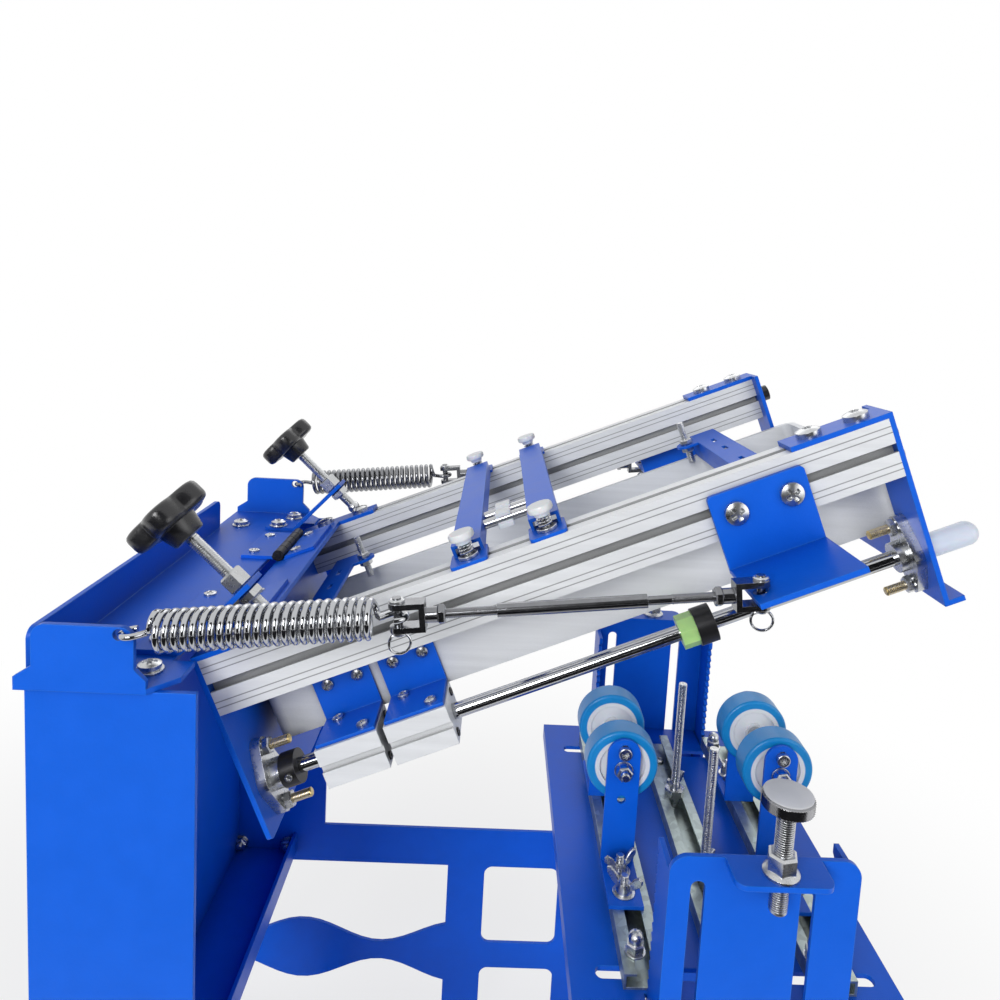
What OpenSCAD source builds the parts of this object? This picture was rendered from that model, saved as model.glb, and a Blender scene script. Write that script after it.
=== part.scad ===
// Bottle screen printing machine: a hinged printing arm over a table with four rollers.
// X runs from the column to the handle, Y across the machine, Z up from the bench.

/* [Column and base] */
// Height of the tray's top above the bench
column_h = 540; // [480:5:600]
// Width of the column along X
column_w = 86; // [70:1:110]
// Distance between the inner faces of the side plates
side_gap = 318; // [300:1:340]
// Thickness of the folded steel sheet
sheet = 3; // [2:0.5:4]
// Height of the base part of the side plates
base_h = 234; // [215:1:260]
// Length of the base to the right of the column
base_right = 395; // [385:1:430]
// Length of the base to the left of the column's front edge
base_left = 152; // [140:1:180]
// Width of the posts between the windows
post_w = 36; // [24:1:40]
// Height of the base's top rail
top_rail_h = 38; // [28:1:44]
// Height of the base's bottom rail
bottom_rail_h = 30; // [20:1:34]
// Width of the inward foot flange
foot_w = 28; // [20:1:34]

/* [Wavy bar] */
// Height of the wavy bar's centre line
wave_z = 103; // [98:1:110]
// Mean half height of the wavy bar
wave_half = 20; // [18:1:22]
// Swing of the bar's half height
wave_amp = 11; // [6:1:12]
// Distance from one thick place to the next
wave_pitch = 150; // [130:1:170]
// Place of the thick middle along X
wave_x = -18; // [-30:1:-10]

/* [Tray] */
// Height of the tray's upturned edge
tray_edge_h = 24; // [16:1:28]
// Height of the spring tabs above the tray
tab_h = 32; // [26:1:38]
// Width of the spring tabs
tab_w = 51; // [44:1:54]
// Height of the spring hook's hole above the tray
hook_z = 28; // [20:1:29]

/* [Hinge and lift] */
// Angle of the raised arm
lift_angle = 22.7; // [18:0.1:24]
// Hinge axis behind the column's front edge
hinge_back = 16; // [15:0.5:18]
// Hinge axis above the tray
hinge_up = 3; // [2.5:0.1:3.4]
// Radius of the hinge knuckles
knuckle_r = 4.2; // [3.8:0.1:4.3]
// Length of one hinge
hinge_len = 60; // [45:1:70]
// Distance of the hinges' centres from the middle
hinge_y = 65; // [50:1:70]
// Diameter of the hinge pins
pin_d = 4; // [3:0.5:5]

/* [Arm] */
// Width of the arm over the extrusions
arm_w = 250; // [230:1:260]
// Length of the extrusions
rail_len = 405; // [395:1:410]
// Height of the extrusions
rail_h = 34; // [30:1:36]
// Width of the extrusions
rail_w = 20; // [18:1:24]
// Width of the T-slots' mouths
slot_w = 5; // [4:0.5:6]
// Height of the end plates
end_h = 114; // [110:1:118]
// Diameter of the guide shafts
shaft_d = 9; // [8:0.5:10]
// Distance of the shafts from the middle
shaft_y = 105; // [104:1:107]
// Depth of the shafts below the arm's hinge level
shaft_down = 91; // [90:1:93]
// Clearance round the shaft in the sliding blocks
slide_fit = 0.05; // [0.02:0.01:0.1]

/* [Screen carriage] */
// Length of one sliding block
block_len = 38; // [32:1:40]
// Height of one sliding block
block_h = 24; // [20:1:26]
// Width of one sliding block
block_w = 30; // [26:1:31]
// Length of the screen frame
screen_len = 413; // [400:1:416]
// Width of the screen frame
screen_w = 174; // [164:1:174]
// Width of the lip that the mesh is glued to
screen_lip = 15; // [12:1:18]
// Thickness of the screen frame's walls
screen_wall = 4; // [3:0.5:5]
// Height of the screen frame
screen_h = 36; // [32:1:38]
// Thickness of the mesh cloth with its glue
mesh_t = 0.8; // [0.6:0.1:1.2]

/* [Springs and tie rods] */
// Outer diameter of the springs
spring_od = 22; // [20:0.5:26]
// Diameter of the spring wire
wire_d = 3.4; // [3:0.1:4]
// Number of coils in a spring
coils = 24; // [18:1:24]
// Diameter of the tie rod's sleeve
sleeve_d = 7; // [6:0.5:9]
// Diameter of the tie rod
rod_d = 4.5; // [4:0.5:5]

/* [Table and rollers] */
// Height of the table above the bench
table_z = 347; // [340:1:352]
// Length of the table along X
table_len = 198; // [190:1:205]
// Place of the table's left edge
table_x = 206; // [202:1:210]
// Width of a clamping rail
crail_w = 26; // [24:1:28]
// Height of a clamping rail
crail_h = 10; // [8:0.5:12]
// Diameter of the rollers
wheel_d = 50; // [44:1:52]
// Width of the rollers
wheel_w = 18; // [14:1:20]
// Distance between the roller pairs along X
wheel_gap_x = 110; // [104:1:114]
// Place of the left rollers
wheel_x = 246; // [242:1:250]
// Distance of the rollers' middles from the machine's middle
wheel_y = 25; // [20:1:28]
// Height of the roller axles above the bench
wheel_z = 427; // [424:1:430]
// Diameter of the roller axles
axle_d = 6; // [5:0.5:8]

/* [Uprights] */
// Height of the uprights' top above the bench
upright_top = 456; // [448:1:460]
// Width of the uprights
upright_w = 104; // [98:1:110]
// Place of the uprights' left edge
upright_x = 250; // [246:1:254]
// Depth of the uprights' side flanges
flange_d = 28; // [20:1:29]
// Diameter of the knurled rest heads
rest_d = 27; // [24:1:28]

/* [Stops] */
// Diameter of the star knobs
star_d = 48; // [40:1:52]
// Distance of the stop screws from the middle
stop_y = 118; // [112:1:119]
// Tilt of the stop screws below the horizontal
stop_tilt = 43; // [40:1:46]
// Diameter of the stop screws
stop_d = 7; // [6:0.5:8]

/* [Hidden] */
$fn = 48;
eps = 0.01;
seat = 0.3;
near = -1;
far = 1;

plate_in = side_gap / 2;
plate_out = plate_in + sheet;
tray_half = plate_out + sheet;
steel = "#d5d8dc";
blue = "#1f55d6";
alu = "#e4e6e8";
black = "#1a1a1c";

// 2D rectangle with round corners, from one corner to the other.
module round_rect(low, high, r) {
    translate([low[0] + r, low[1]]) square([high[0] - low[0] - 2 * r, high[1] - low[1]]);
    translate([low[0], low[1] + r]) square([high[0] - low[0], high[1] - low[1] - 2 * r]);
    for (x = [low[0] + r, high[0] - r])
        for (y = [low[1] + r, high[1] - r])
            translate([x, y]) circle(r);
}

// Upright sheet parallel to XZ: the outline's second axis is Z and y0 its lower face.
module sheet_xz(y0, t) {
    translate([0, y0 + t, 0]) rotate([90, 0, 0]) linear_extrude(t) children();
}

// Upright sheet parallel to YZ: the outline's axes are Y and Z.
module sheet_yz(x0, t) {
    translate([x0, 0, 0]) rotate([90, 0, 90]) linear_extrude(t) children();
}

// Cylinder along Y from y0 to y1 at x, z.
module rod_y(x, z, y0, y1, d) {
    translate([x, y0, z]) rotate([-90, 0, 0]) cylinder(h = y1 - y0, d = d);
}

// Cylinder along X from x0 to x1 at y, z.
module rod_x(y, z, x0, x1, d) {
    translate([x0, y, z]) rotate([0, 90, 0]) cylinder(h = x1 - x0, d = d);
}

// The far half repeats the near half as its mirror image.
module both_sides() {
    children();
    mirror([0, 1, 0]) children();
}

// Places a piece drawn on the level arm, measured from the tray's top, on the raised arm.
module on_arm(angle = lift_angle) {
    translate([-hinge_back, 0, column_h + hinge_up]) rotate([0, -angle, 0])
        translate([hinge_back, 0, -hinge_up]) children();
}

// Side plates with their windows.
foot_hole_d = 9;
foot_hole_in = 20;
window_top = base_h - top_rail_h;
mid_rail_low = wave_z - 15;
mid_rail_high = wave_z + 12;
window_left = -125;
post_x = 121;
window_w = 73;
window_r = 8;
window_slant = 22;
function half_bar(x) = wave_half + wave_amp * cos(360 * (x - wave_x) / wave_pitch);
wave_xs = [for (i = [0:24]) window_left + (post_x - window_left) * i / 24];

module side_outline() {
    difference() {
        union() {
            translate([-column_w, 0]) square([column_w, column_h - sheet]);
            round_rect([-base_left, 0], [base_right, base_h], 6);
        }
        polygon(concat([for (x = wave_xs) [x, wave_z + half_bar(x)]],
            [[post_x, window_top], [window_left + window_slant, window_top],
             [window_left, window_top - 1.7 * window_slant]]));
        polygon(concat([for (x = wave_xs) [x, wave_z - half_bar(x)]],
            [[post_x, bottom_rail_h], [window_left, bottom_rail_h]]));
        for (x = [post_x + post_w : window_w + post_w : base_right - window_w]) {
            round_rect([x, mid_rail_high], [x + window_w, window_top], window_r);
            round_rect([x, bottom_rail_h], [x + window_w, mid_rail_low], window_r);
        }
    }
}

module near_side_plate() {
    color(blue) {
        sheet_xz(-plate_out, sheet) side_outline();
        difference() {
            translate([-base_left, -plate_out, 0]) cube([base_left + base_right, foot_w, sheet]);
            for (x = [foot_hole_in - base_left, base_right - foot_hole_in])
                translate([x, (foot_w + sheet) / 2 - plate_out, -1]) cylinder(h = sheet + 2, d = foot_hole_d);
        }
    }
}

module far_side_plate() {
    mirror([0, 1, 0]) near_side_plate();
}

module column_back_panel() {
    color(blue) sheet_yz(-column_w, sheet)
        translate([-plate_in, window_top]) square([side_gap, column_h - sheet - window_top]);
}

// Cross members: three angles between the foot flanges and a channel under the column.
tie_leg = 25;
module base_ties() {
    color(blue) {
        for (x = [38 - base_left, -tie_leg / 2, base_right - tie_leg - 38])
            translate([x, foot_w - plate_out, 0]) {
                cube([tie_leg, 2 * (plate_out - foot_w), sheet]);
                cube([sheet, 2 * (plate_out - foot_w), tie_leg]);
            }
        translate([-column_w + sheet, -plate_in, window_top + 8]) {
            cube([56, side_gap, sheet]);
            translate([56 - sheet, 0, 0]) cube([sheet, side_gap, 20]);
        }
    }
}

// Tray on top of the column.
tray_left = 90;
tray_right = 24;
corner_cut = 14;
tab_left = -81;
tab_top_r = 7;
tab_foot = 4;
hook_x = -37.5;
hook_hole_d = 6;
edge_near = 154;
edge_far = 110;
module column_tray() {
    color(blue) {
        translate([0, 0, column_h - sheet]) linear_extrude(sheet) polygon([
            [-tray_left, -tray_half], [-tray_right, -tray_half],
            [-tray_right + corner_cut - 2, corner_cut - tray_half],
            [-tray_right + corner_cut - 2, -arm_w / 2 - 8], [-tray_right, -arm_w / 2 - 8],
            [-tray_right, arm_w / 2 + 8], [-tray_right + corner_cut - 2, arm_w / 2 + 8],
            [-tray_right + corner_cut - 2, tray_half - corner_cut],
            [-tray_right, tray_half], [-tray_left, tray_half]]);
        translate([0, 0, column_h]) sheet_yz(-tray_left, sheet)
            round_rect([-edge_near, -sheet], [edge_far, tray_edge_h], 6);
        both_sides() difference() {
            translate([0, 0, column_h]) sheet_xz(-tray_half, sheet) {
                polygon([[-tray_left, -sheet], [-tray_right, -sheet], [-tray_right, tab_foot],
                    [tab_left + tab_w, 10], [tab_left, 10], [-tray_left, tab_foot]]);
                translate([tab_left, -sheet]) square([tab_w, 20]);
                round_rect([tab_left, 0], [tab_left + tab_w, tab_h], tab_top_r);
            }
            rod_y(hook_x, column_h + hook_z, -tray_half - 1, -tray_half + sheet + 1, hook_hole_d);
        }
    }
}

// Uprights with height slots, toothed side flanges and an outward top flap.
upright_low = 150;
slot_top = 14;
slot_left = 16;
slot_right = 28;
slot_bolt_w = 8;
tooth = 6;
flap_d = 20;
flap_w = 52;
flap_r = 6;
rest_shift = 3.5;
rest_x = upright_x + upright_w / 2 + rest_shift;
tooth_count = 16;
rest_thread_d = 10;
module near_upright() {
    color(blue) {
        difference() {
            sheet_xz(-plate_in, sheet)
                round_rect([upright_x, upright_low], [upright_x + upright_w, upright_top], 10);
            for (x = [upright_x + slot_left, upright_x + upright_w - slot_right])
                translate([0, -plate_in - 1, 0]) sheet_xz(0, sheet + 2) translate([-slot_bolt_w / 2, 0])
                    round_rect([x, upright_low + 14], [x + slot_bolt_w, upright_top - slot_top],
                        slot_bolt_w / 2 - 0.1);
        }
        for (x = [upright_x, upright_x + upright_w - sheet])
            sheet_yz(x, sheet) difference() {
                translate([-plate_in, upright_low]) square([flange_d, upright_top - upright_low - 10]);
                for (i = [0 : tooth_count - 1])
                    translate([flange_d - plate_in, upright_top - 18 - i * tooth])
                        polygon([[0.1, -tooth / 2], [0.1, tooth / 2], [-tooth / 2, 0]]);
            }
        difference() {
            translate([rest_x - flap_w / 2, -plate_in - flap_d, upright_top - sheet]) linear_extrude(sheet) {
                round_rect([0, 0], [flap_w, flap_d], flap_r);
                translate([0, flap_d / 2]) square([flap_w, flap_d / 2 + sheet]);
            }
            translate([rest_x, rest_y, upright_top - sheet - 1])
                cylinder(h = sheet + 2, d = rest_thread_d + 1);
        }
    }
}
rest_y = -plate_in - flap_d / 2;

module far_upright() {
    mirror([0, 1, 0]) near_upright();
}

// Knurled screws on which the lowered arm's spring brackets come to rest.
bracket_flange_low = -58;
rest_above = 45;
rest_top = upright_top + rest_above;
rest_head_t = 8;
rest_below = 22;
module rest_screws() {
    color(steel) both_sides() translate([rest_x, rest_y, 0]) {
        translate([0, 0, rest_top - rest_head_t]) cylinder(h = rest_head_t, d = rest_d);
        translate([0, 0, upright_top - rest_below])
            cylinder(h = rest_top - rest_head_t - upright_top + rest_below + 1, d = rest_thread_d - 1);
        translate([0, 0, upright_top]) cylinder(h = 3, d = 18);
        translate([0, 0, upright_top]) cylinder(h = 12, d = 15, $fn = 6);
    }
}

// Table: a folded tray with cross slots and end flanges bolted to the uprights.
table_half = plate_in - sheet;
table_w = 2 * table_half;
lip_h = 9;
end_flange_h = 34;
table_slot_y = 121;
table_slot_w = 9;
module table_plate() {
    color(blue) {
        difference() {
            translate([table_x, -table_half, table_z - sheet]) cube([table_len, table_w, sheet]);
            both_sides() {
                translate([0, 0, table_z - sheet - 1]) linear_extrude(sheet + 2) {
                    round_rect([table_x + 16, -table_slot_y],
                        [table_x + table_len - 12, table_slot_w - table_slot_y], 4);
                }
                for (x = [upright_x - 1, upright_x + upright_w - sheet - 1])
                    translate([x, -table_half - 1, table_z - sheet - 1])
                        cube([sheet + 2, table_half - plate_in + flange_d + 2, sheet + 2]);
            }
        }
        for (x = [table_x, table_x + table_len - sheet])
            translate([x, -table_half, table_z - sheet - lip_h]) cube([sheet, table_w, lip_h + sheet]);
        both_sides() translate([upright_x + sheet + 2, -plate_in + sheet, table_z - end_flange_h])
            cube([upright_w - 2 * sheet - 4, sheet, end_flange_h]);
    }
}

// C-section clamping rails along Y.
crail_half = 128;
crail_t = 1.5;
crail_mouth = 11;
crail_xs = [wheel_x - 9, wheel_x + 46, wheel_x + wheel_gap_x - 6];
module crail_profile() {
    difference() {
        square([crail_w, crail_h]);
        translate([crail_t, crail_t]) square([crail_w - 2 * crail_t, crail_h - 2 * crail_t]);
        translate([(crail_w - crail_mouth) / 2, crail_t]) square([crail_mouth, crail_h]);
    }
}
module table_rails() {
    color(steel) for (x = crail_xs)
        translate([x, crail_half, table_z]) rotate([90, 0, 0]) linear_extrude(2 * crail_half) crail_profile();
}

// Roller brackets: an upright strip with a foot on the rail, and the roller's axle.
strip_w = 23;
strip_t = 2.5;
foot_len = 44;
foot_z = table_z + crail_h;
strip_y = wheel_y + wheel_w / 2 + 2;
module wheel_bracket() {
    strip_top = wheel_z + 22;
    color(blue) {
        sheet_xz(-strip_y - strip_t, strip_t) difference() {
            union() {
                translate([-strip_w / 2, foot_z]) square([strip_w, strip_top - foot_z - strip_w / 2]);
                translate([0, strip_top - strip_w / 2]) circle(d = strip_w);
            }
            translate([-3, wheel_z + 8]) round_rect([0, 0], [6, 10], 2.9);
            translate([0, wheel_z - 22]) circle(d = 6);
        }
        difference() {
            translate([-strip_w / 2, -strip_y - foot_len, foot_z]) cube([strip_w, foot_len, strip_t]);
            for (d = [14, 34])
                translate([0, -strip_y - d, foot_z - 1]) cylinder(h = strip_t + 2, d = 6);
        }
    }
    color(steel) {
        rod_y(0, wheel_z, -strip_y - strip_t - 8, -wheel_y + wheel_w / 2 + 4, axle_d);
        rod_y(0, wheel_z, -strip_y - strip_t - 5, -strip_y - strip_t, 11);
        rod_y(0, wheel_z, -wheel_y + wheel_w / 2 + 0.8, -wheel_y + wheel_w / 2 + 4, 11);
        rod_y(0, wheel_z, -strip_y - eps, -wheel_y - wheel_w / 2 - 0.8, 9);
    }
}
module wheel_brackets() {
    both_sides() for (x = [wheel_x, wheel_x + wheel_gap_x]) translate([x, 0, 0]) wheel_bracket();
}

// Roller: soft tread on a white hub.
module wheel(x, side) {
    translate([x, side * wheel_y, wheel_z]) rotate([90, 0, 0]) rotate_extrude($fn = 72) {
        difference() {
            translate([axle_d / 2 + 0.05, -wheel_w / 2]) square([wheel_d / 2 - axle_d / 2 - 0.05 - 2, wheel_w]);
            for (z = [-wheel_w / 2 - eps, wheel_w / 2 - 2])
                translate([axle_d / 2 + 4, z]) square([wheel_d / 2 - axle_d / 2 - 13, 2 + eps]);
        }
        translate([wheel_d / 2 - 4, -wheel_w / 2 + 2]) square([4, wheel_w - 4]);
        for (z = [-wheel_w / 2 + 2, wheel_w / 2 - 2]) translate([wheel_d / 2 - 2, z]) circle(2);
    }
}
module near_left_wheel() {
    color("#1d8fe0") wheel(wheel_x, near);
}
module near_right_wheel() {
    color("#1d8fe0") wheel(wheel_x + wheel_gap_x, near);
}
module far_left_wheel() {
    color("#1d8fe0") wheel(wheel_x, far);
}
module far_right_wheel() {
    color("#1d8fe0") wheel(wheel_x + wheel_gap_x, far);
}

// Threaded bottle stops standing in the middle rail.
stop_rod_x = crail_xs[1] + crail_w / 2;
stop_rod_h = 94;
module stop_rods() {
    color(steel) for (y = [-48, 42]) translate([stop_rod_x, y, table_z + crail_h]) {
        cylinder(h = stop_rod_h, d = 6);
        cylinder(h = 6, d = 16, $fn = 6);
        translate([0, 0, -crail_h + crail_t + seat]) cylinder(h = crail_h - crail_t, d = 9);
    }
}

// Stop bracket: two slanted ears on the tray for the star-knob screws.
ear_w = 20;
ear_rise = 90 - stop_tilt;
ear_len = 55;
ear_x = -24;
strip_back = -48;
module stop_ear() {
    difference() {
        translate([0, ear_w / 2 - stop_y, column_h]) rotate([90, 0, 0]) linear_extrude(ear_w) {
            translate([strip_back, 0]) square([ear_x - strip_back, sheet]);
            polygon([[ear_x, 0], [ear_x, sheet],
                [ear_x + sheet * sin(ear_rise), sheet * (1 - cos(ear_rise))]]);
            translate([ear_x, sheet]) rotate(ear_rise) translate([0, -sheet]) square([ear_len, sheet]);
        }
        translate([0, 0, -eps]) stop_axis() translate([0, 0, -30]) cylinder(h = 60, d = stop_d + 1);
    }
}
module stop_bracket() {
    color(blue) {
        both_sides() stop_ear();
    }
}

// Axis of a stop screw: origin where it crosses its ear, +Z up towards the knob.
ear_cross = 47;
cross_x = ear_x + ear_cross * cos(ear_rise);
cross_z = sheet + ear_cross * sin(ear_rise);
module stop_axis() {
    translate([cross_x, -stop_y, column_h + cross_z]) rotate([0, -(90 - stop_tilt), 0]) children();
}
// Distance along the screw from the ear down to the arm's top plate.
tab_top = -1.5;
plane_c = cos(lift_angle);
plane_s = sin(lift_angle);
reach = ((cross_z - hinge_up) * plane_c - (cross_x + hinge_back) * plane_s - (tab_top - hinge_up))
    / (sin(stop_tilt) * plane_c + cos(stop_tilt) * plane_s);
tip_r = 5;
tip_lift = (tip_r + seat) / (sin(stop_tilt) * plane_c + cos(stop_tilt) * plane_s);
knob_up = 50;
hub_h = 10;
module stop_screws() {
    color(steel) both_sides() stop_axis() {
        translate([0, 0, tip_lift - reach]) {
            sphere(tip_r);
            cylinder(h = reach - tip_lift + knob_up - hub_h - seat, d = stop_d);
        }
        cylinder(h = 7, d = 13, $fn = 6);
    }
}

// Five-lobed star knobs.
star_t = 13;
module star_knobs() {
    color(black) both_sides() stop_axis() translate([0, 0, knob_up]) {
        linear_extrude(star_t) {
            circle(d = 0.72 * star_d);
            for (a = [0 : 72 : 359]) rotate(a) translate([star_d / 2 - 8, 0]) circle(8);
        }
        translate([0, 0, -hub_h]) cylinder(h = hub_h, d = 20);
    }
}

// Butt hinges between the tray and the arm.
leaf_t = 2.5;
leaf_w = 28;
knuckles = 5;
knuckle_gap = 0.4;
function knuckle_y(i) = -hinge_y - hinge_len / 2 + i * hinge_len / knuckles;
module hinge_leaf(first, dir, z0) {
    difference() {
        translate([dir > 0 ? -hinge_back : -hinge_back - leaf_w, -hinge_y - hinge_len / 2, z0])
            cube([leaf_w, hinge_len, leaf_t]);
        for (i = [1 - first : 2 : knuckles - 1])
            rod_y(-hinge_back, hinge_up, knuckle_y(i) - knuckle_gap, knuckle_y(i + 1) + knuckle_gap,
                2 * knuckle_r + 2);
        rod_y(-hinge_back, hinge_up, -hinge_y - hinge_len, -hinge_y + hinge_len, pin_d + 0.2);
    }
    for (i = [first : 2 : knuckles - 1]) difference() {
        rod_y(-hinge_back, hinge_up, knuckle_y(i) + knuckle_gap, knuckle_y(i + 1) - knuckle_gap, 2 * knuckle_r);
        rod_y(-hinge_back, hinge_up, knuckle_y(i) - 1, knuckle_y(i + 1) + 1, pin_d + 0.1);
    }
}
module hinge_fixed_leaves() {
    color(black) both_sides() translate([0, 0, column_h]) {
        hinge_leaf(0, -1, 0);
        rod_y(-hinge_back, hinge_up, -hinge_y - hinge_len / 2, -hinge_y + hinge_len / 2, pin_d);
        for (i = [0, 4])
            rod_y(-hinge_back, hinge_up, knuckle_y(i) + 1, knuckle_y(i + 1) - 1, pin_d + 0.2);
    }
}
module hinge_moving_leaves() {
    color(black) on_arm() both_sides() hinge_leaf(1, 1, tab_top);
}

// T-slot extrusions of the arm.
rail_x = -17;
rail_top = tab_top - sheet;
rail_wall = 2;
module t_slot(depth) {
    translate([-slot_w / 2, -depth]) square([slot_w, depth + 1]);
    translate([-slot_w / 2 - 2, -depth]) square([slot_w + 4, depth - rail_wall]);
}
module rail_profile() {
    difference() {
        translate([-rail_w / 2, -rail_h]) square([rail_w, rail_h]);
        t_slot(6);
        translate([0, -rail_h]) rotate(180) t_slot(6);
        for (a = [-90, 90]) translate([a / 90 * -rail_w / 2, -rail_h / 2]) rotate(-a + 180) t_slot(6);
        for (z = [-rail_h / 2 - 11, 11 - rail_h / 2]) translate([0, z]) circle(d = 3);
    }
}
module extrusion() {
    translate([0, 0, rail_top]) sheet_yz(rail_x, rail_len)
        translate([-arm_w / 2 + rail_w / 2, 0]) rail_profile();
}
module near_extrusion() {
    color(alu) on_arm() extrusion();
}
module far_extrusion() {
    color(alu) on_arm() mirror([0, 1, 0]) extrusion();
}

// End plates of the arm.
end_right = rail_x + rail_len;
plate_low = rail_top - end_h;
tab_len = 56;
left_tab_len = 64;
shaft_hole = 16;
module end_tabs(x0, length) {
    both_sides() translate([x0, -arm_w / 2, rail_top]) cube([length, rail_w, sheet]);
}
module left_end_plate() {
    color(blue) on_arm() {
        difference() {
            sheet_yz(rail_x - sheet, sheet)
                round_rect([-arm_w / 2, plate_low], [arm_w / 2, tab_top], 3);
            both_sides() rod_x(-shaft_y, -shaft_down, rail_x - 5, rail_x + 1, shaft_hole);
        }
        end_tabs(rail_x - sheet, left_tab_len + sheet);
        translate([rail_x - sheet, -arm_w / 2, rail_top]) cube([sheet + 33, arm_w, sheet]);
    }
}
notch_half = 95;
notch_low = -88;
leg_w = 40;
leg_h = 10;
toe = 12;
module right_end_plate() {
    color(blue) on_arm() {
        difference() {
            sheet_yz(end_right, sheet) difference() {
                round_rect([-arm_w / 2, plate_low], [arm_w / 2, tab_top], 3);
                round_rect([-notch_half, notch_low], [notch_half, tab_top + 10], 8);
                round_rect([leg_w - arm_w / 2, plate_low - 10], [arm_w / 2 - leg_w, plate_low + leg_h], 4);
            }
            both_sides() rod_x(-shaft_y, -shaft_down, end_right - 1, end_right + 5, shaft_hole);
        }
        end_tabs(end_right - tab_len, tab_len + sheet);
        both_sides() translate([end_right, -arm_w / 2, plate_low]) cube([toe, leg_w - 8, sheet]);
    }
}

// Guide shafts, their flange bearings and collars.
bearing_len = 48;
bearing_bolts = 36;
bearing_t = 6;
bearing_hub = 12;
shaft_end = 2;
module guide_shafts() {
    color(steel) on_arm() both_sides()
        rod_x(-shaft_y, -shaft_down, rail_x - sheet - shaft_end, end_right + sheet + shaft_end, shaft_d);
}
module flange_bearing() {
    difference() {
        union() {
            linear_extrude(bearing_t) hull() {
                circle(d = 27);
                for (y = [-bearing_bolts / 2, bearing_bolts / 2]) translate([0, y]) circle(d = 12, $fn = 32);
            }
            cylinder(h = bearing_hub, d = 18);
        }
        translate([0, 0, -1]) cylinder(h = bearing_hub + 2, d = shaft_d);
    }
    for (y = [-bearing_bolts / 2, bearing_bolts / 2]) translate([0, y, 0]) {
        cylinder(h = 22, d = 5);
        translate([0, 0, bearing_t]) cylinder(h = 4, d = 9, $fn = 6);
    }
}
module shaft_bearings() {
    color(steel) on_arm() both_sides() {
        translate([rail_x, -shaft_y, -shaft_down]) rotate([90, 0, 90]) flange_bearing();
        translate([end_right, -shaft_y, -shaft_down]) mirror([1, 0, 0]) rotate([90, 0, 90]) flange_bearing();
    }
}
module ring_x(x0, x1, d_out, d_in) {
    difference() {
        rod_x(-shaft_y, -shaft_down, x0, x1, d_out);
        rod_x(-shaft_y, -shaft_down, x0 - 1, x1 + 1, d_in);
    }
}
collar_d = 20;
cushion_x = 243;
cushion_t = 10;
module shaft_collars() {
    color(black) on_arm() both_sides() {
        ring_x(rail_x + bearing_hub + seat, rail_x + bearing_hub + 10, collar_d, shaft_d);
        ring_x(cushion_x + cushion_t, cushion_x + cushion_t + 11, collar_d + 2, shaft_d);
    }
}
module travel_cushions() {
    color("#b6f29a") on_arm() both_sides() difference() {
        translate([cushion_x, -shaft_y, -shaft_down]) rotate([0, 90, 0]) rotate(22.5)
            cylinder(h = cushion_t, d = collar_d, $fn = 8);
        rod_x(-shaft_y, -shaft_down, cushion_x - 1, cushion_x + cushion_t + 1, shaft_d);
    }
}
handle_len = 34;
module handles() {
    on_arm() {
        color("#e8f0f8") translate([end_right + sheet + shaft_end, -shaft_y, -shaft_down]) rotate([0, 90, 0])
            rotate_extrude() {
                square([7, handle_len - 6]);
                difference() {
                    translate([0, handle_len - 7]) circle(7);
                    translate([-8, handle_len - 15]) square([8, 16]);
                }
            }
        color(black) rod_x(shaft_y + 10, rail_top - rail_h / 2, end_right + sheet, end_right + sheet + 9, 13);
    }
}

// Spring brackets on the outer faces of the extrusions.
bracket_x = 279;
bracket_w = 56;
bracket_out = 52;
spring_y = tray_half - sheet / 2;
pin_x = bracket_x + 5;
pin_z = bracket_flange_low + sheet / 2;
module spring_brackets() {
    color(blue) on_arm() both_sides() difference() {
        union() {
            sheet_xz(-arm_w / 2 - sheet, sheet)
                round_rect([bracket_x, bracket_flange_low], [bracket_x + bracket_w, -12], 3);
            translate([bracket_x, -arm_w / 2 - bracket_out, bracket_flange_low])
                cube([bracket_w, bracket_out, sheet]);
        }
        translate([pin_x + seat, -spring_y, bracket_flange_low - 1]) cylinder(h = sheet + 2, d = 8);
    }
}

// Squeegee bars across the arm: inverted channels on flat feet, held by thumb screws.
bar_w = 22;
bar_xs = [133, 180];
bar_up = 9;
bar_t = 2;
bar_side = 2;
bar_end = 4;
module squeegee_bar() {
    inner = arm_w / 2 - rail_w;
    both_sides() difference() {
        translate([0, -arm_w / 2, 0]) linear_extrude(bar_t)
            round_rect([0, 0], [bar_w, rail_w + bar_end], 3);
        translate([bar_w / 2, -arm_w / 2 + rail_w / 2, -1]) cylinder(h = bar_t + 2, d = 6.5);
    }
    difference() {
        translate([bar_side, -inner - bar_end, 0]) cube([bar_w - 2 * bar_side, 2 * (inner + bar_end), bar_up]);
        translate([bar_side + bar_t, -inner - bar_end - 1, -1])
            cube([bar_w - 2 * bar_side - 2 * bar_t, 2 * (inner + bar_end) + 2, bar_up - bar_t + 1]);
    }
}
module squeegee_bars() {
    color(blue) on_arm() for (x = bar_xs) translate([x, 0, rail_top]) squeegee_bar();
}
thumb_up = 10.5;
module thumb_screws() {
    color("white") on_arm() for (x = bar_xs) both_sides()
        translate([x + bar_w / 2, -arm_w / 2 + rail_w / 2, rail_top]) {
            translate([0, 0, bar_t]) cylinder(h = 2, d = 12);
            translate([0, 0, -3]) cylinder(h = thumb_up + 4, d = 5);
            translate([0, 0, thumb_up]) cylinder(h = 7, d = 15);
        }
}
module squeegee_rods() {
    color(steel) on_arm() for (y = [-70, -52])
        rod_x(y, rail_top + bar_up / 2, bar_xs[0] + bar_w - bar_side, bar_xs[1] + bar_side, 6);
}

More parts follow.
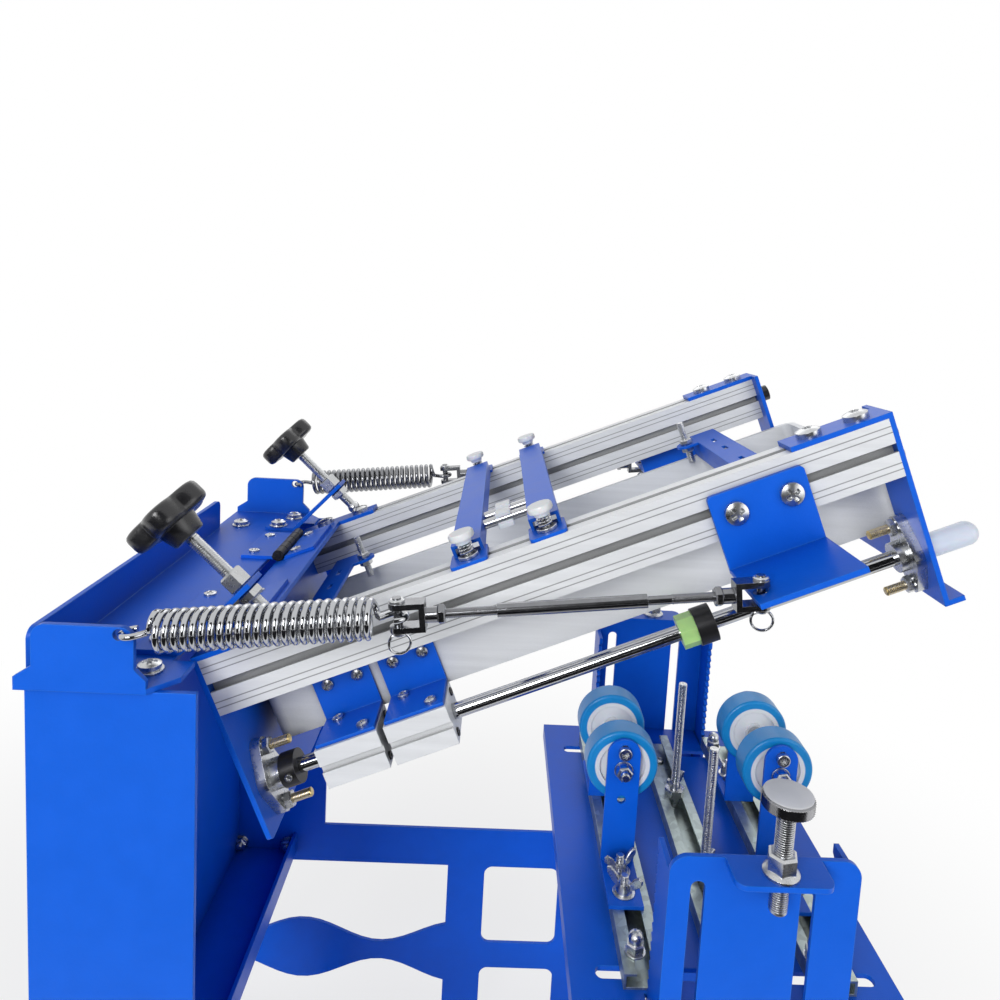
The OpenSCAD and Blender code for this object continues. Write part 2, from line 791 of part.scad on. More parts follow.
// Screen carriage on the guide shafts.
block_xs = [22, 64];
block_top = -shaft_down + block_h / 2;
screen_drop = 2;
lip_t = 3;
screen_top = block_top + screen_h - screen_drop;
screen_x = -10;
module sliding_blocks() {
    color(alu) on_arm() for (x = block_xs) both_sides() difference() {
        translate([x, -shaft_y - block_w / 2, -shaft_down - block_h / 2]) cube([block_len, block_w, block_h]);
        rod_x(-shaft_y, -shaft_down, x - 1, x + block_len + 1, shaft_d + 2 * slide_fit);
        translate([x - 1, -shaft_y - block_w / 2 - 1, -shaft_down - 2]) cube([block_len + 2, 3, 4]);
    }
}
bracket_up = screen_h - screen_drop - 4;
bracket_len = block_len - 2;
bracket_y = shaft_y + block_w / 2 - 2;
bracket_t = 2;
module block_plates() {
    color(blue) on_arm() for (x = block_xs) both_sides() translate([x, 0, block_top]) {
        translate([1, -bracket_y, 0]) cube([bracket_len, bracket_y - screen_w / 2, bracket_t]);
        translate([1, -screen_w / 2 - bracket_t, 0]) cube([bracket_len, bracket_t, bracket_up]);
    }
}
module screen_outline(inset, r) {
    round_rect([screen_x + inset, inset - screen_w / 2],
        [screen_x + screen_len - inset, screen_w / 2 - inset], r);
}
module screen_frame() {
    color(alu) on_arm() translate([0, 0, screen_top - screen_h]) {
        linear_extrude(screen_h) difference() {
            screen_outline(0, 10);
            screen_outline(screen_wall, 10 - screen_wall);
        }
        linear_extrude(lip_t) difference() {
            screen_outline(0, 10);
            screen_outline(screen_lip, 3);
        }
    }
}
module screen_mesh() {
    color("#f3f6fa") on_arm() translate([screen_x + 4, 4 - screen_w / 2, screen_top - screen_h - mesh_t])
        cube([screen_len - 8, screen_w - 8, mesh_t]);
}
// Cross plates on the frame's top: a raised strip with a hanging flange and a tab for the levelling screw.
cross_xs = [8, 320];
cross_w = 20;
cross_rise = 14;
cross_t = 2;
cross_top = screen_top + cross_rise + cross_t;
cross_slots = [-50, -20, 20, 50];
tab_r = 8;
tab_y = 68;
level_d = 5;
module cross_plate(tab_x) {
    low_y = -screen_w / 2;
    strip_z = screen_top + cross_rise;
    difference() {
        union() {
            translate([0, low_y, strip_z]) cube([cross_w, screen_w, cross_t]);
            translate([0, low_y, screen_top]) cube([cross_t, screen_w, cross_rise + cross_t]);
            translate([tab_x, tab_y, strip_z]) cylinder(h = cross_t, d = 2 * tab_r);
            translate([min(tab_x, 1), tab_y - tab_r, strip_z])
                cube([max(tab_x, cross_w) - min(tab_x, 1), 2 * tab_r, cross_t]);
        }
        for (y = cross_slots) translate([cross_w / 2 - 1.5, y - 5, strip_z - 1]) cube([3, 10, cross_t + 2]);
        translate([tab_x, tab_y, strip_z - 1]) cylinder(h = cross_t + 2, d = level_d + 0.6);
    }
}
tab_xs = [cross_w + tab_r, -tab_r];
module screen_cross_plates() {
    color(blue) on_arm() for (i = [0, 1]) translate([cross_xs[i], 0, 0]) cross_plate(tab_xs[i]);
}
module levelling_screws() {
    color(steel) on_arm() for (i = [0, 1]) translate([cross_xs[i] + tab_xs[i], tab_y, cross_top]) {
        translate([0, 0, -16]) cylinder(h = 34, d = level_d);
        cylinder(h = 4, d = 9, $fn = 6);
        translate([0, 0, -cross_t - 4]) cylinder(h = 4, d = 9, $fn = 6);
    }
}

// Springs and tie rods, drawn along the line from the tray's hook hole to the bracket's pin.
lifted_x = (pin_x + hinge_back) * plane_c - (pin_z - hinge_up) * plane_s - hinge_back;
lifted_z = (pin_x + hinge_back) * plane_s + (pin_z - hinge_up) * plane_c + hinge_up;
link_dx = lifted_x - hook_x;
link_dz = lifted_z - hook_z;
link_len = sqrt(link_dx * link_dx + link_dz * link_dz);
link_angle = atan2(link_dz, link_dx);
coil_len = 108;
clevis_pin_d = 4.5;
coil_r = (spring_od - wire_d) / 2;
loop_r = 5.4;
steps = 14;
sides = 6;
tail = 3.4;
turn_in = 5;
module along_link(side) {
    translate([hook_x, side * spring_y, column_h + hook_z]) rotate([0, -link_angle, 0]) children();
}
// Centre line of the wire: a hook through the tray's tab, the coil, and a loop in the clevis.
// Each end runs in from the coil's rim to the axis and then round its loop, which starts at a tangent.
neck = 8.4;
hook_play = (hook_hole_d - wire_d) / 2 - seat;
loop_play = loop_r - wire_d / 2 - clevis_pin_d / 2 - seat;
coil_start = hook_play + loop_r + neck + tail;
coil_end = coil_start + coil_len;
tangent = acos(loop_r / neck);
function coil_point(x, turn, r) = [x, r * sin(360 * turn), r * cos(360 * turn)];
coil_points = [for (i = [0 : coils * steps])
    coil_point(coil_start + coil_len * i / (coils * steps), i / steps, coil_r)];
run_in = [for (i = [1 : turn_in - 1]) coil_point(tail * i / turn_in, 0.05 * i, coil_r * (1 - i / turn_in))];
loop_turn = 360 - 2 * tangent - 40;
loop_points = [for (i = [0 : 10]) let (a = 180 - tangent - i * loop_turn / 10)
    [neck + loop_r * cos(a), loop_r * sin(a), 0]];
end_part = concat(run_in, [[tail, 0, 0]], [for (p = loop_points) p + [tail, 0, 0]]);
first_pin = coil_end + tail + neck + loop_play;
wire_path = concat(
    [for (i = [len(end_part) - 1 : -1 : 0]) [coil_start - end_part[i][0], -end_part[i][1], end_part[i][2]]],
    coil_points, [for (p = end_part) p + [coil_end, 0, 0]]);
function unit(v) = v / norm(v);
function tangent_at(path, i) = unit(path[min(i + 1, len(path) - 1)] - path[max(i - 1, 0)]);
function level(v, t) = unit(v - (v * t) * t);
// Side vectors carried along the path, so that the rings never twist against each other.
function carried(path) = [for (i = 0, v = level([0, 0, 1], tangent_at(path, 0)); i < len(path);
    i = i + 1, v = level(v, tangent_at(path, min(i, len(path) - 1)))) v];
function ring_at(center, t, v, r) = let (w = cross(t, v))
    [for (k = [0 : sides - 1]) center + r * (cos(360 * k / sides) * v + sin(360 * k / sides) * w)];
module sweep(path, r) {
    n = len(path);
    side_vectors = carried(path);
    points = [for (i = [0 : n - 1]) each ring_at(path[i], tangent_at(path, i), side_vectors[i], r)];
    walls = [for (i = [0 : n - 2], k = [0 : sides - 1]) let (j = (k + 1) % sides)
        each [[i * sides + j, i * sides + k, (i + 1) * sides + j],
              [(i + 1) * sides + j, i * sides + k, (i + 1) * sides + k]]];
    polyhedron(points, concat(walls, [[for (k = [0 : sides - 1]) k]],
        [[for (k = [sides - 1 : -1 : 0]) (n - 1) * sides + k]]));
}
module near_spring() {
    color(steel) along_link(near) sweep(wire_path, wire_d / 2);
}
module far_spring() {
    mirror([0, 1, 0]) near_spring();
}

// Tie rod with a clevis at each end.
clevis_len = 20;
clevis_w = 9;
clevis_arm = 3;
clevis_gap = 9;
clevis_web = 11;
module clevis(x, dir) {
    translate([x, 0, 0]) mirror([dir > 0 ? 0 : 1, 0, 0]) {
        for (z = [-clevis_gap / 2 - clevis_arm, clevis_gap / 2]) translate([0, 0, z]) {
            cylinder(h = clevis_arm, d = clevis_w);
            translate([0, -clevis_w / 2, 0]) cube([clevis_web + clevis_arm, clevis_w, clevis_arm]);
        }
        translate([clevis_web, -clevis_w / 2, -clevis_gap / 2]) cube([clevis_arm, clevis_w, clevis_gap]);
        rod_x(0, 0, clevis_web + clevis_arm / 2, clevis_len, clevis_w - 1);
        translate([0, 0, -10]) cylinder(h = 20, d = clevis_pin_d);
    }
}
module near_tie_rod() {
    color(steel) along_link(near) {
        clevis(first_pin, 1);
        clevis(link_len, -1);
        rod_x(0, 0, first_pin + clevis_len - 6, link_len - clevis_len + 6, rod_d);
        rod_x(0, 0, first_pin + 50, first_pin + 126, sleeve_d);
    }
}
module far_tie_rod() {
    mirror([0, 1, 0]) near_tie_rod();
}

near_side_plate();
far_side_plate();
column_back_panel();
column_tray();
base_ties();
near_upright();
far_upright();
rest_screws();
table_plate();
table_rails();
wheel_brackets();
near_left_wheel();
near_right_wheel();
far_left_wheel();
far_right_wheel();
stop_rods();
stop_bracket();
stop_screws();
star_knobs();
hinge_fixed_leaves();
hinge_moving_leaves();
near_extrusion();
far_extrusion();
left_end_plate();
right_end_plate();
guide_shafts();
shaft_bearings();
shaft_collars();
travel_cushions();
handles();
spring_brackets();
squeegee_bars();
thumb_screws();
squeegee_rods();
sliding_blocks();
block_plates();
screen_frame();
screen_mesh();
screen_cross_plates();
levelling_screws();
near_spring();
far_spring();
near_tie_rod();
far_tie_rod();
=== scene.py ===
"""Bottle screen printing machine: looks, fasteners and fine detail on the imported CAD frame."""
import bpy
import math
from mathutils import Matrix, Vector


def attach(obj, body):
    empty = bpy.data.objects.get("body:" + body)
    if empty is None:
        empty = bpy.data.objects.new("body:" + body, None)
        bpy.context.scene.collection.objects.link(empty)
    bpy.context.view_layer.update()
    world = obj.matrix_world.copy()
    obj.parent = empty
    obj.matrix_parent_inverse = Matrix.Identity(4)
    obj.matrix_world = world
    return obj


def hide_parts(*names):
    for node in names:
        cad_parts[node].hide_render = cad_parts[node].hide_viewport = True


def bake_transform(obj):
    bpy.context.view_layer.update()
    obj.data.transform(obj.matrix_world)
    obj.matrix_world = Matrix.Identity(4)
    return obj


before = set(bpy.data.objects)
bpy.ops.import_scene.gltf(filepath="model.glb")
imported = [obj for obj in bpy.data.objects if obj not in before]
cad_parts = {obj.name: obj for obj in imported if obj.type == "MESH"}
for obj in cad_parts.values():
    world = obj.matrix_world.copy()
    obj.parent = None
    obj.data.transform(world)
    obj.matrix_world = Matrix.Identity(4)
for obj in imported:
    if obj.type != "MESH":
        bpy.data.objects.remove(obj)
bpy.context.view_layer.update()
MM = 0.001

# Places, in mm. The arm's own space has z 0 at the column's top, with the arm level.
COLUMN_H = 540.0
LIFT = math.radians(22.7)
HINGE = Vector((-16.0, 0.0, 543.0))
ARM = Matrix.Translation(HINGE) @ Matrix.Rotation(-LIFT, 4, "Y") @ Matrix.Translation(-HINGE) \
    @ Matrix.Translation((0, 0, COLUMN_H))
BASE = Matrix.Identity(4)
TRAY = Matrix.Translation((0, 0, COLUMN_H))
AXES = {
    "+x": Matrix.Rotation(math.pi / 2, 4, "Y"), "-x": Matrix.Rotation(-math.pi / 2, 4, "Y"),
    "+y": Matrix.Rotation(-math.pi / 2, 4, "X"), "-y": Matrix.Rotation(math.pi / 2, 4, "X"),
    "+z": Matrix.Identity(4), "-z": Matrix.Rotation(math.pi, 4, "X"),
}
SIDES = (1, -1)


def at(x, y, z, axis="+z", space=BASE, turn=0.0):
    """Places local +Z along axis at x, y, z (mm) in a space."""
    return space @ Matrix.Translation((x, y, z)) @ AXES[axis] @ Matrix.Rotation(math.radians(turn), 4, "Z")


def shift(x, y, z):
    return Matrix.Translation((x, y, z))


def outward(s, inward=False):
    """The axis that points away from the middle on side s, or with inward towards it."""
    return "+y" if (s > 0) != inward else "-y"


# Shader nodes that several materials share
def shader(m):
    """The nodes and links of a material, and its Principled node."""
    nodes = m.node_tree.nodes
    return nodes, m.node_tree.links, nodes["Principled BSDF"]


def map_range(nodes, links, value, low=0.0, high=1.0, to_low=0.0, to_high=1.0):
    """Maps low to high of a value onto to_low to to_high."""
    span = nodes.new("ShaderNodeMapRange")
    span.inputs["From Min"].default_value = low
    span.inputs["From Max"].default_value = high
    span.inputs["To Min"].default_value = to_low
    span.inputs["To Max"].default_value = to_high
    links.new(value, span.inputs["Value"])
    return span.outputs["Result"]


def scaled(nodes, links, color, factor):
    """The color times the factor."""
    node = nodes.new("ShaderNodeVectorMath")
    node.operation = "SCALE"
    links.new(color, node.inputs[0])
    links.new(factor, node.inputs["Scale"])
    return node.outputs["Vector"]


def mixed(nodes, links, color, second, factor):
    """The color where the factor is 0, and second where it is 1."""
    node = nodes.new("ShaderNodeMix")
    node.data_type = "RGBA"
    links.new(factor, node.inputs["Factor"])
    links.new(color, node.inputs["A"])
    node.inputs["B"].default_value = (*second, 1)
    return node.outputs["Result"]


def vector_math(nodes, links, operation, vector, other=None):
    """A vector operation of a socket and a fixed vector, or of the socket alone."""
    node = nodes.new("ShaderNodeVectorMath")
    node.operation = operation
    links.new(vector, node.inputs[0])
    if other is not None:
        node.inputs[1].default_value = other
    return node.outputs["Value" if operation in ("LENGTH", "DOT_PRODUCT") else "Vector"]


def value_math(nodes, links, operation, first, second=None):
    """A number operation of a socket with another socket, with a fixed number or alone."""
    node = nodes.new("ShaderNodeMath")
    node.operation = operation
    links.new(first, node.inputs[0])
    if isinstance(second, float):
        node.inputs[1].default_value = second
    elif second is not None:
        links.new(second, node.inputs[1])
    return node.outputs["Value"]


def place_vector(nodes):
    return nodes.new("ShaderNodeTexCoord").outputs["Object"]


def base_color(p):
    """The socket that feeds the base color."""
    return p.inputs["Base Color"].links[0].from_socket


# Materials
def material(name, color, metallic=0.0, rough=0.4, coat=0.0, transmission=0.0, subsurface=0.0,
             vary=0.06, vary_scale=60.0, bump=0.1, bump_scale=900.0, stretch=(1, 1, 1), tilt=0.0,
             edge=None, edge_size=0.0006, rough_vary=0.1, specular=0.5, painted_crevice_shade=0.0):
    """Principled material with tone and roughness variation, a fine bump, worn edges, and painted shade that
    darkens the colour in corners and recesses.
    """
    m = bpy.data.materials.new(name)
    m.use_nodes = True
    nodes, links, p = shader(m)
    settings = {
        "Metallic": metallic, "Coat Weight": coat, "Coat Roughness": 0.15, "IOR": 1.5,
        "Transmission Weight": transmission, "Subsurface Weight": subsurface, "Subsurface Scale": 0.004,
        "Specular IOR Level": specular,
    }
    for socket, value in settings.items():
        p.inputs[socket].default_value = value
    mapping = nodes.new("ShaderNodeMapping")
    mapping.inputs["Rotation"].default_value = (0, tilt, 0)
    mapping.inputs["Scale"].default_value = stretch
    links.new(place_vector(nodes), mapping.inputs["Vector"])
    broad = nodes.new("ShaderNodeTexNoise")
    broad.inputs["Scale"].default_value = vary_scale
    broad.inputs["Detail"].default_value = 4.0
    links.new(mapping.outputs["Vector"], broad.inputs["Vector"])
    ramp = nodes.new("ShaderNodeValToRGB")
    low, high = ramp.color_ramp.elements
    low.position, high.position = 0.3, 0.7
    low.color = (*[max(0.0, c * (1 - vary)) for c in color], 1)
    high.color = (*[min(1.0, c * (1 + vary) + 0.01 * vary) for c in color], 1)
    links.new(broad.outputs["Fac"], ramp.inputs["Fac"])
    base = ramp.outputs["Color"]
    links.new(map_range(nodes, links, broad.outputs["Fac"], to_low=max(0.02, rough - rough_vary),
                        to_high=min(1.0, rough + rough_vary)), p.inputs["Roughness"])
    fine = nodes.new("ShaderNodeTexNoise")
    fine.inputs["Scale"].default_value = bump_scale
    fine.inputs["Detail"].default_value = 3.0
    links.new(mapping.outputs["Vector"], fine.inputs["Vector"])
    bumped = nodes.new("ShaderNodeBump")
    bumped.inputs["Strength"].default_value = bump
    bumped.inputs["Distance"].default_value = 0.0003
    links.new(fine.outputs["Fac"], bumped.inputs["Height"])
    bevel = nodes.new("ShaderNodeBevel")
    bevel.samples = 4
    bevel.inputs["Radius"].default_value = edge_size
    links.new(bevel.outputs["Normal"], bumped.inputs["Normal"])
    links.new(bumped.outputs["Normal"], p.inputs["Normal"])
    if edge:
        geometry = nodes.new("ShaderNodeNewGeometry")
        dot = nodes.new("ShaderNodeVectorMath")
        dot.operation = "DOT_PRODUCT"
        links.new(bevel.outputs["Normal"], dot.inputs[0])
        links.new(geometry.outputs["True Normal"], dot.inputs[1])
        worn = map_range(nodes, links, dot.outputs["Value"], 0.995, 0.80, to_high=0.55)
        base = mixed(nodes, links, base, edge, worn)
    # Painted shade: an ambient occlusion node darkens the base colour in corners and recesses.
    if painted_crevice_shade:
        shade = nodes.new("ShaderNodeAmbientOcclusion")
        shade.samples = 6
        shade.inputs["Distance"].default_value = 0.03
        depth = map_range(nodes, links, shade.outputs["AO"], high=0.9, to_low=1.0 - painted_crevice_shade)
        base = scaled(nodes, links, base, depth)
    links.new(base, p.inputs["Base Color"])
    m.diffuse_color = (*color, 1)
    return m


def mask_radius(m, second, center, axis, radius, soft=0.0003):
    """Within radius (m) of an axis through center, the material takes the color second."""
    nodes, links, p = shader(m)
    away = vector_math(nodes, links, "SUBTRACT", place_vector(nodes), center)
    flat = vector_math(nodes, links, "MULTIPLY", away, [0.0 if a else 1.0 for a in axis])
    length = vector_math(nodes, links, "LENGTH", flat)
    inside = map_range(nodes, links, length, radius + soft, radius - soft)
    links.new(mixed(nodes, links, base_color(p), second, inside), p.inputs["Base Color"])
    return m


def mask_side(m, second, limit=0.0, middle=False):
    """The material takes second where y is above limit (m), or with middle nearer to 0 than limit."""
    nodes, links, p = shader(m)
    parts = nodes.new("ShaderNodeSeparateXYZ")
    links.new(place_vector(nodes), parts.inputs["Vector"])
    if middle:
        distance = value_math(nodes, links, "ABSOLUTE", parts.outputs["Y"])
        taken = value_math(nodes, links, "LESS_THAN", distance, limit)
    else:
        taken = value_math(nodes, links, "GREATER_THAN", parts.outputs["Y"], limit)
    links.new(mixed(nodes, links, base_color(p), second, taken), p.inputs["Base Color"])
    return m


def spangle(m, scale=220.0, amount=0.16):
    """Zinc crystal pattern on a galvanised sheet."""
    nodes, links, p = shader(m)
    cells = nodes.new("ShaderNodeTexVoronoi")
    cells.inputs["Scale"].default_value = scale
    links.new(place_vector(nodes), cells.inputs["Vector"])
    tone = nodes.new("ShaderNodeSeparateColor")
    links.new(cells.outputs["Color"], tone.inputs["Color"])
    factor = map_range(nodes, links, tone.outputs["Red"], to_low=1.0 - amount, to_high=1.0 + amount)
    links.new(scaled(nodes, links, base_color(p), factor), p.inputs["Base Color"])
    return m


def painted_slot_shade(m, heights, width=0.45, darkest=0.35):
    """Painted shade: fine dark lines along the arm's rails where their slots are, at heights (mm) in the
    arm's own space.
    """
    nodes, links, p = shader(m)
    up = Vector((-math.sin(LIFT), 0.0, math.cos(LIFT)))
    zero = (up.dot(HINGE) - (HINGE.z - COLUMN_H)) * MM
    height = vector_math(nodes, links, "DOT_PRODUCT", place_vector(nodes), up)
    color = base_color(p)
    for h in heights:
        gap = value_math(nodes, links, "SUBTRACT", height, zero + h * MM)
        near = value_math(nodes, links, "ABSOLUTE", gap)
        tone = map_range(nodes, links, near, 0.3 * width * MM, width * MM, darkest)
        color = scaled(nodes, links, color, tone)
    links.new(color, p.inputs["Base Color"])
    return m


def cloth_material():
    """Open screen cloth: a fine plain weave that lets light through between its threads."""
    m = bpy.data.materials.new("screen cloth")
    m.use_nodes = True
    nodes, links, p = shader(m)
    p.inputs["Roughness"].default_value = 0.55
    p.inputs["Sheen Weight"].default_value = 0.2
    turn = nodes.new("ShaderNodeMapping")
    turn.inputs["Rotation"].default_value = (0, LIFT, 0)
    links.new(place_vector(nodes), turn.inputs["Vector"])
    threads = []
    for direction in ("X", "Y"):
        wave = nodes.new("ShaderNodeTexWave")
        wave.wave_type = "BANDS"
        wave.bands_direction = direction
        wave.inputs["Scale"].default_value = 420.0
        wave.inputs["Distortion"].default_value = 0.2
        links.new(turn.outputs["Vector"], wave.inputs["Vector"])
        threads.append(wave.outputs["Fac"])
    weave = value_math(nodes, links, "MAXIMUM", *threads)
    bump = nodes.new("ShaderNodeBump")
    bump.inputs["Strength"].default_value = 0.5
    bump.inputs["Distance"].default_value = 0.0002
    links.new(weave, bump.inputs["Height"])
    links.new(bump.outputs["Normal"], p.inputs["Normal"])
    stain = nodes.new("ShaderNodeTexNoise")
    stain.inputs["Scale"].default_value = 18.0
    stain.inputs["Detail"].default_value = 5.0
    links.new(turn.outputs["Vector"], stain.inputs["Vector"])
    ramp = nodes.new("ShaderNodeValToRGB")
    low, high = ramp.color_ramp.elements
    low.position, high.position = 0.35, 0.65
    low.color = (0.70, 0.74, 0.76, 1)
    high.color = (0.86, 0.88, 0.90, 1)
    links.new(stain.outputs["Fac"], ramp.inputs["Fac"])
    links.new(ramp.outputs["Color"], p.inputs["Base Color"])
    links.new(map_range(nodes, links, weave, 0.2, 0.6, 0.55, 0.95), p.inputs["Alpha"])
    return m


PAINT = (0.002, 0.125, 0.76)
PAINT_EDGE = (0.03, 0.27, 0.92)
PAINT_LOOK = {"rough": 0.36, "bump": 0.22, "bump_scale": 700.0, "edge": PAINT_EDGE, "specular": 0.25}
ALU_COLOR = (0.87, 0.885, 0.90)
ALU_LOOK = {"metallic": 0.15, "rough": 0.42, "vary": 0.04, "vary_scale": 260.0, "bump": 0.14,
            "bump_scale": 1400.0, "stretch": (0.03, 1, 1), "tilt": LIFT, "edge": (0.93, 0.93, 0.94),
            "edge_size": 0.0005, "rough_vary": 0.08, "painted_crevice_shade": 0.8}
# Heights (mm) of the painted shade lines at the rails' slots.
SLOT_SHADE_HEIGHTS = (-9.0, -12.5, -30.5, -34.0)
# Blue paint and aluminium carry painted shade in their corners and recesses.
BLUE = material("blue powder coat", PAINT, vary=0.03, edge_size=0.0009, rough_vary=0.05, painted_crevice_shade=0.65,
                **PAINT_LOOK)
STEEL = material("zinc plated steel", (0.56, 0.57, 0.58), metallic=1.0, rough=0.28, vary=0.05,
                 vary_scale=240.0, bump=0.06, edge=(0.85, 0.86, 0.88), edge_size=0.0003)
GALVANISED = spangle(material("galvanised rail", (0.40, 0.46, 0.44), metallic=0.9, rough=0.40, vary=0.10,
                              vary_scale=90.0, bump=0.12, edge=(0.75, 0.78, 0.77), edge_size=0.0004))
CHROME = material("chrome", (0.50, 0.51, 0.53), metallic=1.0, rough=0.11, vary=0.03, vary_scale=150.0,
                  bump=0.03, bump_scale=1500.0, rough_vary=0.04, edge_size=0.0002)
ALU = material("anodised aluminium", ALU_COLOR, **ALU_LOOK)
# The rail aluminium has painted shade lines at its slots.
RAIL = painted_slot_shade(material("rail aluminium", ALU_COLOR, **ALU_LOOK), SLOT_SHADE_HEIGHTS)
DARK = material("dark spring steel", (0.24, 0.245, 0.26), metallic=1.0, rough=0.20, vary=0.08,
                vary_scale=200.0, bump=0.04, bump_scale=1500.0, rough_vary=0.04, edge=(0.5, 0.5, 0.52),
                edge_size=0.0003)
BLACK = material("black nylon", (0.010, 0.010, 0.012), rough=0.26, coat=0.3, vary=0.2, bump=0.35,
                 bump_scale=1300.0, edge=(0.06, 0.06, 0.065), edge_size=0.0006)
BLACK_STEEL = material("black oxide steel", (0.022, 0.022, 0.024), metallic=0.6, rough=0.36, vary=0.25,
                       bump=0.15, edge=(0.22, 0.22, 0.23), edge_size=0.0004)
WHITE = material("white nylon", (0.82, 0.84, 0.87), rough=0.33, coat=0.2, subsurface=0.15, vary=0.04,
                 bump=0.12, edge=(0.93, 0.94, 0.95))
SATIN = material("turned steel face", (0.74, 0.75, 0.77), metallic=0.4, rough=0.55, vary=0.05, bump=0.2,
                 edge=(0.85, 0.85, 0.86), edge_size=0.0004)
BRASS = material("yellow zinc plating", (0.72, 0.55, 0.24), metallic=1.0, rough=0.30, vary=0.15,
                 vary_scale=300.0, bump=0.1, edge=(0.9, 0.8, 0.5), edge_size=0.0003)
GREEN = material("clear green polyurethane", (0.58, 0.93, 0.34), rough=0.24, transmission=0.35,
                 subsurface=0.2, vary=0.06, bump=0.06, edge=(0.75, 0.95, 0.6), edge_size=0.0005)
CLOTH = cloth_material()

NODE_MATERIALS = {
    BLUE: ["near_side_plate", "far_side_plate", "column_back_panel", "column_tray", "base_ties",
           "near_upright", "far_upright", "table_plate", "stop_bracket", "left_end_plate",
           "right_end_plate", "spring_brackets", "squeegee_bars", "block_plates", "screen_cross_plates"],
    STEEL: ["rest_screws", "stop_rods", "stop_screws", "levelling_screws", "thumb_screws", "shaft_bearings"],
    GALVANISED: ["table_rails"],
    CHROME: ["guide_shafts", "squeegee_rods", "near_spring"],
    DARK: ["far_spring", "near_tie_rod", "far_tie_rod"],
    RAIL: ["near_extrusion", "far_extrusion"],
    ALU: ["sliding_blocks", "screen_frame"],
    BLACK: ["star_knobs"],
    BLACK_STEEL: ["shaft_collars"],
    GREEN: ["travel_cushions"],
    CLOTH: ["screen_mesh"],
}


def dress(node, mat):
    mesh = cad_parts[node].data
    mesh.materials.clear()
    mesh.materials.append(mat)


for mat, names in NODE_MATERIALS.items():
    for n in names:
        dress(n, mat)

# Rollers: azure treads on white hubs, told apart by the distance (m) from the axle.
WHEEL_XS, WHEEL_Y, AXLE_Z = (246, 356), 25, 427
HUB_R = 0.0192
WHEELS = {"near_left_wheel": (WHEEL_XS[0], -WHEEL_Y), "near_right_wheel": (WHEEL_XS[1], -WHEEL_Y),
          "far_left_wheel": (WHEEL_XS[0], WHEEL_Y), "far_right_wheel": (WHEEL_XS[1], WHEEL_Y)}
for n, (x, y) in WHEELS.items():
    tread = material("tread of " + n, (0.006, 0.27, 0.66), rough=0.36, coat=0.05, subsurface=0.08, vary=0.07,
                     bump=0.14, edge=(0.06, 0.42, 0.82), edge_size=0.0005)
    dress(n, mask_radius(tread, (0.82, 0.84, 0.86), (x * MM, y * MM, AXLE_Z * MM), (0, 1, 0), HUB_R))

# Roller brackets: painted strips with bare steel axles, told apart by the distance (m) from the middle.
AXLE_REACH = 0.0358
# The strip paint also carries painted shade in its corners and recesses.
strip = material("strip paint", PAINT, vary=0.03, edge_size=0.0006, painted_crevice_shade=0.5, **PAINT_LOOK)
dress("wheel_brackets", mask_side(strip, (0.42, 0.43, 0.45), AXLE_REACH, middle=True))

# Handles: a milky one at the near side, a black one at the far side.
milky = material("milky nylon", (0.72, 0.78, 0.88), rough=0.30, coat=0.2, subsurface=0.2, vary=0.04,
                 bump=0.12, edge=(0.85, 0.90, 0.96))
dress("handles", mask_side(milky, (0.012, 0.012, 0.014)))

# Hinges: painted leaves with a black barrel.
BARREL_R = 0.0047
leaf = material("hinge paint", PAINT, vary=0.05, edge_size=0.0005, **PAINT_LOOK)
mask_radius(leaf, (0.015, 0.015, 0.017), HINGE * MM, (0, 1, 0), BARREL_R)
dress("hinge_fixed_leaves", leaf)
dress("hinge_moving_leaves", leaf)


# Shapes, in mm
def circle(r, n):
    return [(r * math.cos(2 * math.pi * k / n), r * math.sin(2 * math.pi * k / n)) for k in range(n)]


def lathe(profile, n=32, closed=False):
    """Turns (r, z) pairs round Z. Points with r of 0 become poles."""
    verts, faces, rings = [], [], []
    for r, z in profile:
        start = len(verts)
        ring = circle(r, n) if r > 0 else [(0.0, 0.0)]
        verts += [(x, y, z) for x, y in ring]
        rings.append(list(range(start, len(verts))))
    pairs = list(zip(rings, rings[1:])) + ([(rings[-1], rings[0])] if closed else [])
    for low, high in pairs:
        if len(low) == 1 and len(high) == 1:
            continue
        for k in range(n):
            j = (k + 1) % n
            if len(low) == 1:
                faces.append((low[0], high[k], high[j]))
            elif len(high) == 1:
                faces.append((low[j], low[k], high[0]))
            else:
                faces.append((low[k], high[k], high[j], low[j]))
    return verts, [tuple(reversed(f)) for f in faces]


def loft(loops):
    """Joins loops of equal length, each a list of 3D points, and closes both ends."""
    verts, faces = [], []
    n = len(loops[0])
    for loop in loops:
        verts += [tuple(p) for p in loop]
    for i in range(len(loops) - 1):
        for k in range(n):
            j = (k + 1) % n
            faces.append((i * n + k, i * n + j, (i + 1) * n + j, (i + 1) * n + k))
    faces.append(tuple(range(n - 1, -1, -1)))
    faces.append(tuple((len(loops) - 1) * n + k for k in range(n)))
    return verts, faces


def inset(points, d):
    """Moves the corners of an outline inwards by d, measured square to its sides."""
    sharpest, least, straight = 0.35, 1e-6, 1e-9
    out = []
    for i, point in enumerate(points):
        a, b, c = Vector(points[i - 1]), Vector(point), Vector(points[(i + 1) % len(points)])
        u, v = (b - a).normalized(), (c - b).normalized()
        size = max(sharpest, math.sqrt(max(least, (1 + u.dot(v)) / 2)))
        m = Vector((-(u.y + v.y), u.x + v.x))
        if m.length < straight:
            m = Vector((-u.y, u.x))
        out.append(tuple(b + m.normalized() * d / size))
    return out


def prism(outline, z0, z1, c):
    """Upright prism with a small chamfer c round both ends."""
    small = inset(outline, c)
    return loft([[(x, y, z0) for x, y in small], [(x, y, z0 + c) for x, y in outline],
                 [(x, y, z1 - c) for x, y in outline], [(x, y, z1) for x, y in small]])


